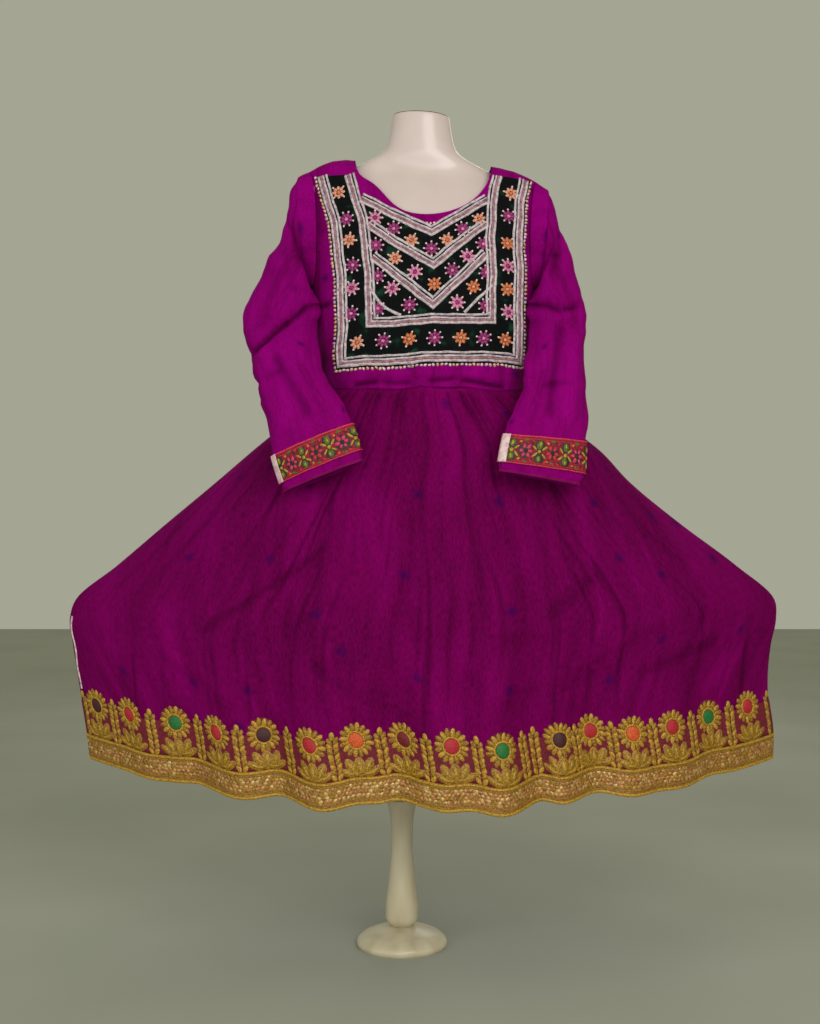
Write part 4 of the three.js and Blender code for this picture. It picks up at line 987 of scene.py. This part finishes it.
def cuff(name, side):
    """The band, its embroidery and its binding on one sleeve."""
    top, foot = CUFF_ROWS
    turns = np.linspace(math.pi, -math.pi, 145) if side < 0 else np.linspace(0, math.tau, 145)
    wrapped = np.mod(turns, math.tau)
    middle = sleeve_point(np.full(turns.shape, (top + foot) / 2), wrapped, side)
    walk = arc_places(middle)
    lines = sleeve_point(np.array([top, foot], float)[:, None] + 0 * turns,
                         wrapped[None] + 0 * turns[:1], side)
    tall = float(np.mean(np.linalg.norm(lines[0] - lines[1], axis=-1)))

    def on_sleeve(s, t):
        turn = np.interp(s, walk, turns)
        return sleeve_point(foot - (foot - top) * t / tall, np.mod(turn, math.tau), side)

    around, up = np.meshgrid(np.linspace(0, walk[-1], 145), np.linspace(0, tall, 13))
    band = sheet_of(f"cuff_{name}_band", laid_grid(on_sleeve, around, up, CUFF_TOP)[:, :-1],
                    np.stack([around, up], -1), red_cotton, CUFF_THICK, f"cuff_{name}")

    base = CUFF_TOP - 0.0003
    work = []
    dice = np.random.default_rng(50 + side)

    def sewn(s, t, long, wide, turn, rise, finish, sides=8):
        grow = dice.uniform(0.86, 1.14)
        s, t = s + dice.uniform(-0.0009, 0.0009), t + dice.uniform(-0.0009, 0.0009)
        work.append(dab(s, t, long * grow, wide * grow, turn + dice.uniform(-0.2, 0.2), rise, base,
                        finish, sides))

    ring_line = np.column_stack([np.linspace(0.0005, walk[-1] - 0.0005, 160), np.zeros(160)])
    for t in (0.0012, tall - 0.0014):
        work.append(cord(ring_line + (0, t), 0, 0.0036, 0.0022, base, "piping", 0.0004))
    for t in (0.0062, tall - 0.0064):
        work.append(cord(ring_line + (0, t), 0, 0.0016, 0.0008, base, "orange", 0.0003))
    for t in (-0.90 * tall, -0.78 * tall):
        work.append(cord(ring_line + (0, t), 0, 0.0030, 0.0020, 0.0, "hem"))
    units = round(walk[-1] / MOTIF_WIDE)
    wide = walk[-1] / units
    half = tall / 2
    for k in range(units):
        s = (k + 0.42) * wide
        for way in (-1, 1):
            sewn(s, half + way * 0.0115, 0.0232, 0.0192, math.pi / 2, 0.0008, "black", 12)
            sewn(s, half + way * 0.0115, 0.0170, 0.0122, math.pi / 2, 0.0015, "green")
            sewn(s, half + way * 0.0122, 0.0110, 0.0050, math.pi / 2, 0.0021, "yellow", 6)
            for aside in (-1, 1):
                sewn(s + aside * 0.0085, half + way * 0.0060, 0.0126, 0.0040,
                     aside * way * 0.7, 0.0013, "yellow")
                sewn(s + aside * 0.0135, half + way * 0.0165, 0.0085, 0.0048,
                     -aside * way * 0.6, 0.0012, "orange")
        sewn(s, half, 0.0068, 0.0068, 0, 0.0018, "yellow")
        s = (k + 0.92) * wide
        sewn(s, half, 0.0300, 0.0290, 0, 0.0007, "black", 12)
        for petal in range(6):
            turn = math.tau * petal / 6
            sewn(s + 0.0078 * math.cos(turn), half + 0.0078 * math.sin(turn), 0.0092, 0.0066,
                 turn, 0.0015, "orange" if k % 2 else "rose")
        sewn(s, half, 0.0066, 0.0066, 0, 0.0021, "black")
        for way in (-1, 1):
            sewn(s, half + way * 0.0188, 0.0110, 0.0056, 0.3 * way, 0.0013, "green")
            sewn(s + 0.0105, half + way * 0.0155, 0.0075, 0.0060, 0, 0.0011, "black", 6)
            sewn(s - 0.0100, half + way * 0.0158, 0.0054, 0.0046, 0, 0.0014, "yellow", 6)
    stitched = embroidery(f"cuff_{name}_embroidery", on_sleeve, work, cuff_finishes)

    start = BINDING_START[side]
    across, up = np.meshgrid(np.linspace(start, start + BINDING_WIDE, 9), np.linspace(0, tall, 13))
    binding = sheet_of(f"cuff_{name}_binding", laid_grid(on_sleeve, across, up, BINDING_TOP),
                       np.stack([across, up], -1), binding_cloth, BINDING_THICK,
                       f"cuff_binding_{name}")


cuff("left", -1)
cuff("right", 1)

# Hem border: a scalloped crimson band round the skirt, worked all over in gold thread. Round
# flowers with coloured discs stand on leaves, with a spray of small leaves between two of them.
BORDER_FOOT_Z = 0.403
BORDER_THICK = 0.0010
BORDER_TOP = 0.0004 + BORDER_THICK  # the band's upper face over the skirt
BORDER_WORK = BORDER_TOP - 0.0002
BORDER_LOW = 0.062  # the border's height between two flowers
SCALLOP_RISE, SCALLOP_HALF = 0.028, 0.0295  # its rise round a flower, and half width there
FLOWER_HEIGHT, FLOWER_REACH, FLOWER_PETALS = 0.061, 0.0228, 16
FLOWER_LEAVES = [  # aside, height, length, width and turn
    (0, 0.0165, 0.036, 0.0215, math.pi / 2), (-0.0150, 0.0170, 0.036, 0.0180, 2.05),
    (0.0150, 0.0170, 0.036, 0.0180, 1.09), (-0.0235, 0.0085, 0.032, 0.0135, 2.60),
    (0.0235, 0.0085, 0.032, 0.0135, 0.54), (-0.0140, 0.0050, 0.030, 0.0090, 2.95),
    (0.0140, 0.0050, 0.030, 0.0090, 0.19),
]
SPRAY_ROWS, SPRAY_STEP = 8, 0.0087  # leaves on each side of an ear, and from leaf to leaf
BORDER_FLOWERS = {  # x and disc of each, in front and behind
    -1: thousandths([
        (-612, "dark"), (-541, "red"), (-450, "green"), (-369, "red"), (-283, "dark"),
        (-199, "red"), (-118, "orange"), (-35, "maroon"), (47, "red"), (134, "green"),
        (237, "dark"), (294, "red"), (371, "orange"), (447, "red"), (522, "green"), (606, "red")]),
    1: thousandths([
        (-606, "red"), (-530, "green"), (-452, "red"), (-372, "orange"), (-290, "red"),
        (-205, "dark"), (-122, "red"), (-40, "green"), (46, "red"), (128, "orange"), (212, "red"),
        (294, "dark"), (374, "red"), (452, "green"), (530, "red"), (604, "orange")]),
}

crimson = thread("crimson_ground", "4c0218", "7a0426", 0.8, 300)
hem_finishes = {
    "gold": thread("gold_thread", "5a3e04", "ac8018", 0.5, 420, Metallic=0.15),
    "bright": thread("bright_gold_thread", "7a560a", "c89c2a", 0.48, 420, Metallic=0.15),
    "red": thread("red_disc", "8c0c1a", "bc1a2c", 0.6),
    "green": thread("green_disc", "0c501e", "187632", 0.6),
    "orange": thread("orange_disc", "b03c14", "dc5c20", 0.6),
    "dark": thread("dark_disc", "24080e", "4a101c", 0.6),
    "maroon": thread("maroon_disc", "4a0614", "7e1020", 0.6),
    "rose": thread("rose_sequin", "845028", "c08a4c", 0.35, 160, Metallic=0.3),
    "silver": thread("pale_sequin", "9a743c", "ceac68", 0.32, 160, Metallic=0.3),
}


def hem_walk(side):
    """Shares across a skirt panel and the distance walked to each, along the hem border."""
    share = np.linspace(-1, 1, 801)
    line = skirt_point(-side * share, np.full(share.shape, BORDER_FOOT_Z + 0.03), side, fine=False)
    return share, arc_places(line)


def on_hem(side):
    """The skirt under a place: walked from the viewer's left, and up from the border's foot."""
    share, walked = hem_walk(side)

    def place(s, t):
        return skirt_point(-side * np.interp(s, walked, share), BORDER_FOOT_Z + t, side)
    return place


def hem_sheet(name, side, foot, top, upper, thick, material, rows):
    """A band of cloth laid on the skirt between two lines over its border's foot."""
    share, walked = hem_walk(side)
    s, up = np.meshgrid(np.interp(np.linspace(-1, 1, 409), share, walked), np.linspace(0, 1, rows))
    t = mix(foot, top(s), up)
    points = laid_grid(on_hem(side), s, t, upper)
    points[:, [0, -1], 1] = side * 0.0002
    return sheet_of(f"{name}_cloth", points, np.stack([s, t], -1), material, thick, name)


def flower_places(side):
    """Distance walked along the hem to each flower, from the viewer's left."""
    share, walked = hem_walk(side)
    level = np.full(share.shape, BORDER_FOOT_Z + 0.06)
    x = skirt_point(-side * share, level, side, fine=False)[:, 0]
    return [float(np.interp(at, -side * x, walked)) for at, _ in BORDER_FLOWERS[side]]


def scalloped_top(side):
    """A line over the border's foot that rises round each flower."""
    places_along = np.array(flower_places(side))

    def height(s):
        off = np.min(np.abs(s[..., None] - places_along), axis=-1)
        return BORDER_LOW + SCALLOP_RISE * np.sqrt(np.maximum(0, 1 - (off / SCALLOP_HALF) ** 2))
    return height


def spray(s, ways, dice):
    """A tall ear of small leaves, lying close together on both sides of a stem."""
    leaves = []
    for row in range(SPRAY_ROWS):
        lean = dice.uniform(-0.0010, 0.0010)
        for way in ways:
            leaves.append(dab(s + lean + way * 0.0058, 0.0050 + SPRAY_STEP * row, 0.0150, 0.0092,
                              math.pi / 2 - way * 0.55, 0.0018 + 0.0001 * row, BORDER_WORK,
                              "gold" if row % 2 else "bright"))
    leaves.append(dab(s, 0.0745, 0.0150, 0.0100, math.pi / 2, 0.0020, BORDER_WORK, "bright"))
    return leaves


def hem_border(name, side):
    """The border of the skirt's front or back, with all that is worked on it."""
    band = hem_sheet(f"hem_border_{name}", side, 0.0, scalloped_top(side), BORDER_TOP,
                     BORDER_THICK, crimson, 13)
    length = float(hem_walk(side)[1][-1])
    work = []
    dice = np.random.default_rng(70 + side)
    flowers = flower_places(side)
    for s, (_, disc) in zip(flowers, BORDER_FLOWERS[side]):
        t = FLOWER_HEIGHT + dice.uniform(-0.0025, 0.0015)
        for petal in range(FLOWER_PETALS):
            turn = math.tau * (petal + 0.5) / FLOWER_PETALS
            reach = FLOWER_REACH + dice.uniform(-0.0012, 0.0010)
            work.append(dab(s + reach * math.cos(turn), t + reach * math.sin(turn), 0.0165,
                            0.0090, turn, 0.0018, BORDER_WORK, "bright" if petal % 2 else "gold"))
        ring = np.linspace(0, math.tau, 33)
        rim = np.column_stack([s + 0.0150 * np.cos(ring), t + 0.0150 * np.sin(ring)])
        work.append(cord(rim, 0, 0.0040, 0.0022, BORDER_WORK, "bright"))
        work.append(dab(s, t, 0.0262, 0.0262, 0, 0.0024, BORDER_WORK, disc, 16))
        for aside, height, long, wide, turn in FLOWER_LEAVES:
            turn = turn + dice.uniform(-0.08, 0.08)
            work.append(dab(s + aside, height, long, wide, turn, 0.0020, BORDER_WORK, "gold", 12))
            work.append(dab(s + aside, height, long * 0.66, wide * 0.42, turn, 0.0027, BORDER_WORK,
                            "bright", 6))
    for before, after in zip(flowers[:-1], flowers[1:]):
        ears = max(1, round((after - before - 0.060) / 0.030))
        for ear in range(ears):
            work += spray((before + after) / 2 + 0.028 * (ear - (ears - 1) / 2), (-1, 1), dice)
    work += spray(0.008, (1,), dice) + spray(length - 0.008, (-1,), dice)
    worked = embroidery(f"hem_border_{name}_embroidery", on_hem(side), work, hem_finishes)


hem_border("front", -1)
hem_border("back", 1)

# Lining edge: the pale lining of the skirt shows as a narrow rolled edge along the side seam on
# the viewer's left, from the skirt's widest place down to the border.
lining_height = np.linspace(0.085, 0.222, 60)
lining_line = np.column_stack([0.0062 + 0.0012 * np.sin(lining_height * 90), lining_height])
embroidery("skirt_lining_edge", on_hem(-1),
           [cord(lining_line[::-1], 0, 0.0046, 0.0018, -0.0002, "lining", uneven=0.0004)],
           {"lining": thread("lining_cloth", "a8868e", "dcc4c8", 0.75, 160)})

# Hem braid: a woven rose-gold braid at the skirt's lower edge, sewn with overlapping sequins,
# with a gold cord along its top and a thick gold piping round the hem itself.
BRAID_FOOT = 0.0465
BRAID_TOP, BRAID_THICK = 0.0018, 0.0014  # the braid's upper face over the skirt
BRAID_WORK = 0.0015
# Its cords: height over the border's foot, width, rise, how far sunk in, and which finish
HEM_CORDS = thousandths([
    (-45.9, 6.4, 3.2, 1, "bright"), (-9, 2.2, 1.4, 0, "gold"), (-4, 5.2, 2.6, 0, "bright"),
    (-38.5, 2.6, 1.6, 0, "gold")])
SEQUIN_ROWS = (-0.0140, -0.0200, -0.0262, -0.0325)
SEQUIN_STEP = 0.0084
braid_ground = thread("braid_ground", "664018", "a87c34", 0.5, 340, Metallic=0.15)


def hem_braid(name, side):
    """The braid of the skirt's front or back, with its cords and sequins."""
    band = hem_sheet(f"hem_braid_{name}", side, -BRAID_FOOT, lambda s: np.full_like(s, -0.0006),
                     BRAID_TOP, BRAID_THICK, braid_ground, 9)
    length = float(hem_walk(side)[1][-1])
    run = np.linspace(0.001, length - 0.001, 420)
    work = [cord(np.column_stack([run, np.full(run.size, t)]), 0, wide, rise, BRAID_WORK - sunk,
                 finish) for t, wide, rise, sunk, finish in HEM_CORDS]
    dice = np.random.default_rng(90 + side)
    for row, t in enumerate(SEQUIN_ROWS):
        for s in np.arange(0.004 + SEQUIN_STEP / 2 * (row % 2), length - 0.004, SEQUIN_STEP):
            size = dice.uniform(0.0078, 0.0104)
            patch = 0.5 + 0.5 * math.sin(s * 61 + 2 * row) * math.sin(s * 23)
            finish = "rose" if dice.uniform() < patch else dice.choice(["silver", "gold"])
            work.append(dab(s + dice.uniform(-0.0016, 0.0016), t + dice.uniform(-0.0008, 0.0008),
                            size, size * 0.8, dice.uniform(0, 3), 0.0010,
                            BRAID_WORK + dice.uniform(0, 0.0006), str(finish), 6))
    worked = embroidery(f"hem_braid_{name}_trim", on_hem(side), work, hem_finishes)


hem_braid("front", -1)
hem_braid("back", 1)

# The studio: a plain pale floor, soft even light from above and in front, and a camera that
# stands level, 2.6 m in front of the dress, as the photograph was taken.
CAMERA_PLACE = (-0.0247, -2.6, 0.8216)
CAMERA_LENS = 48.1
# Square soft lights: name, place, height that they are turned to, size, power and tint
SOFT_LIGHTS = [
    ("key_light", (1.3, -3.0, 2.3), 0.9, 1.8, 46, (1, 0.97, 0.93)),
    ("front_light", (-0.3, -3.6, 1.1), 0.9, 2.4, 34, (1, 0.99, 0.97)),
    ("fill_light", (-2.6, -2.2, 1.5), 0.9, 2.2, 18, (0.95, 0.98, 1)),
    ("back_light", (0.4, 3.0, 2.6), 1.0, 1.8, 14, (1, 1, 1)),
]

floor_paint = new_material("pale_floor", "a2a598", 0.75)
paint(floor_paint, noise(floor_paint, 1.2), [(0.3, "9ea193"), (0.7, "abada0")])
deselect_all()
bpy.ops.mesh.primitive_plane_add(size=14, location=(0, 0, 0))
floor = bpy.context.object
floor.name = "studio_floor"
floor.data.materials.append(floor_paint)

bpy.ops.object.camera_add(location=CAMERA_PLACE, rotation=(math.radians(90), 0, 0))
camera = bpy.context.object
camera.name = "photo_camera"
camera.data.lens = CAMERA_LENS
camera.data.sensor_width = 36
camera.data.clip_end = 60
bpy.context.scene.camera = camera

for name, place, aim_z, size, power, tint in SOFT_LIGHTS:
    bpy.ops.object.light_add(type="AREA", location=place)
    light = bpy.context.object
    light.name = name
    x, y, drop = -place[0], -place[1], place[2] - aim_z
    light.rotation_euler = (math.atan2(math.hypot(x, y), drop), 0, math.atan2(-x, y))
    light.data.size = size
    light.data.energy = power
    light.data.color = tint
world = bpy.data.worlds.new("soft_room")
world.use_nodes = True
background = world.node_tree.nodes["Background"]
background.inputs["Color"].default_value = colour("bcbca8")
background.inputs["Strength"].default_value = 0.75
bpy.context.scene.world = world
bpy.context.scene.view_settings.view_transform = "Standard"
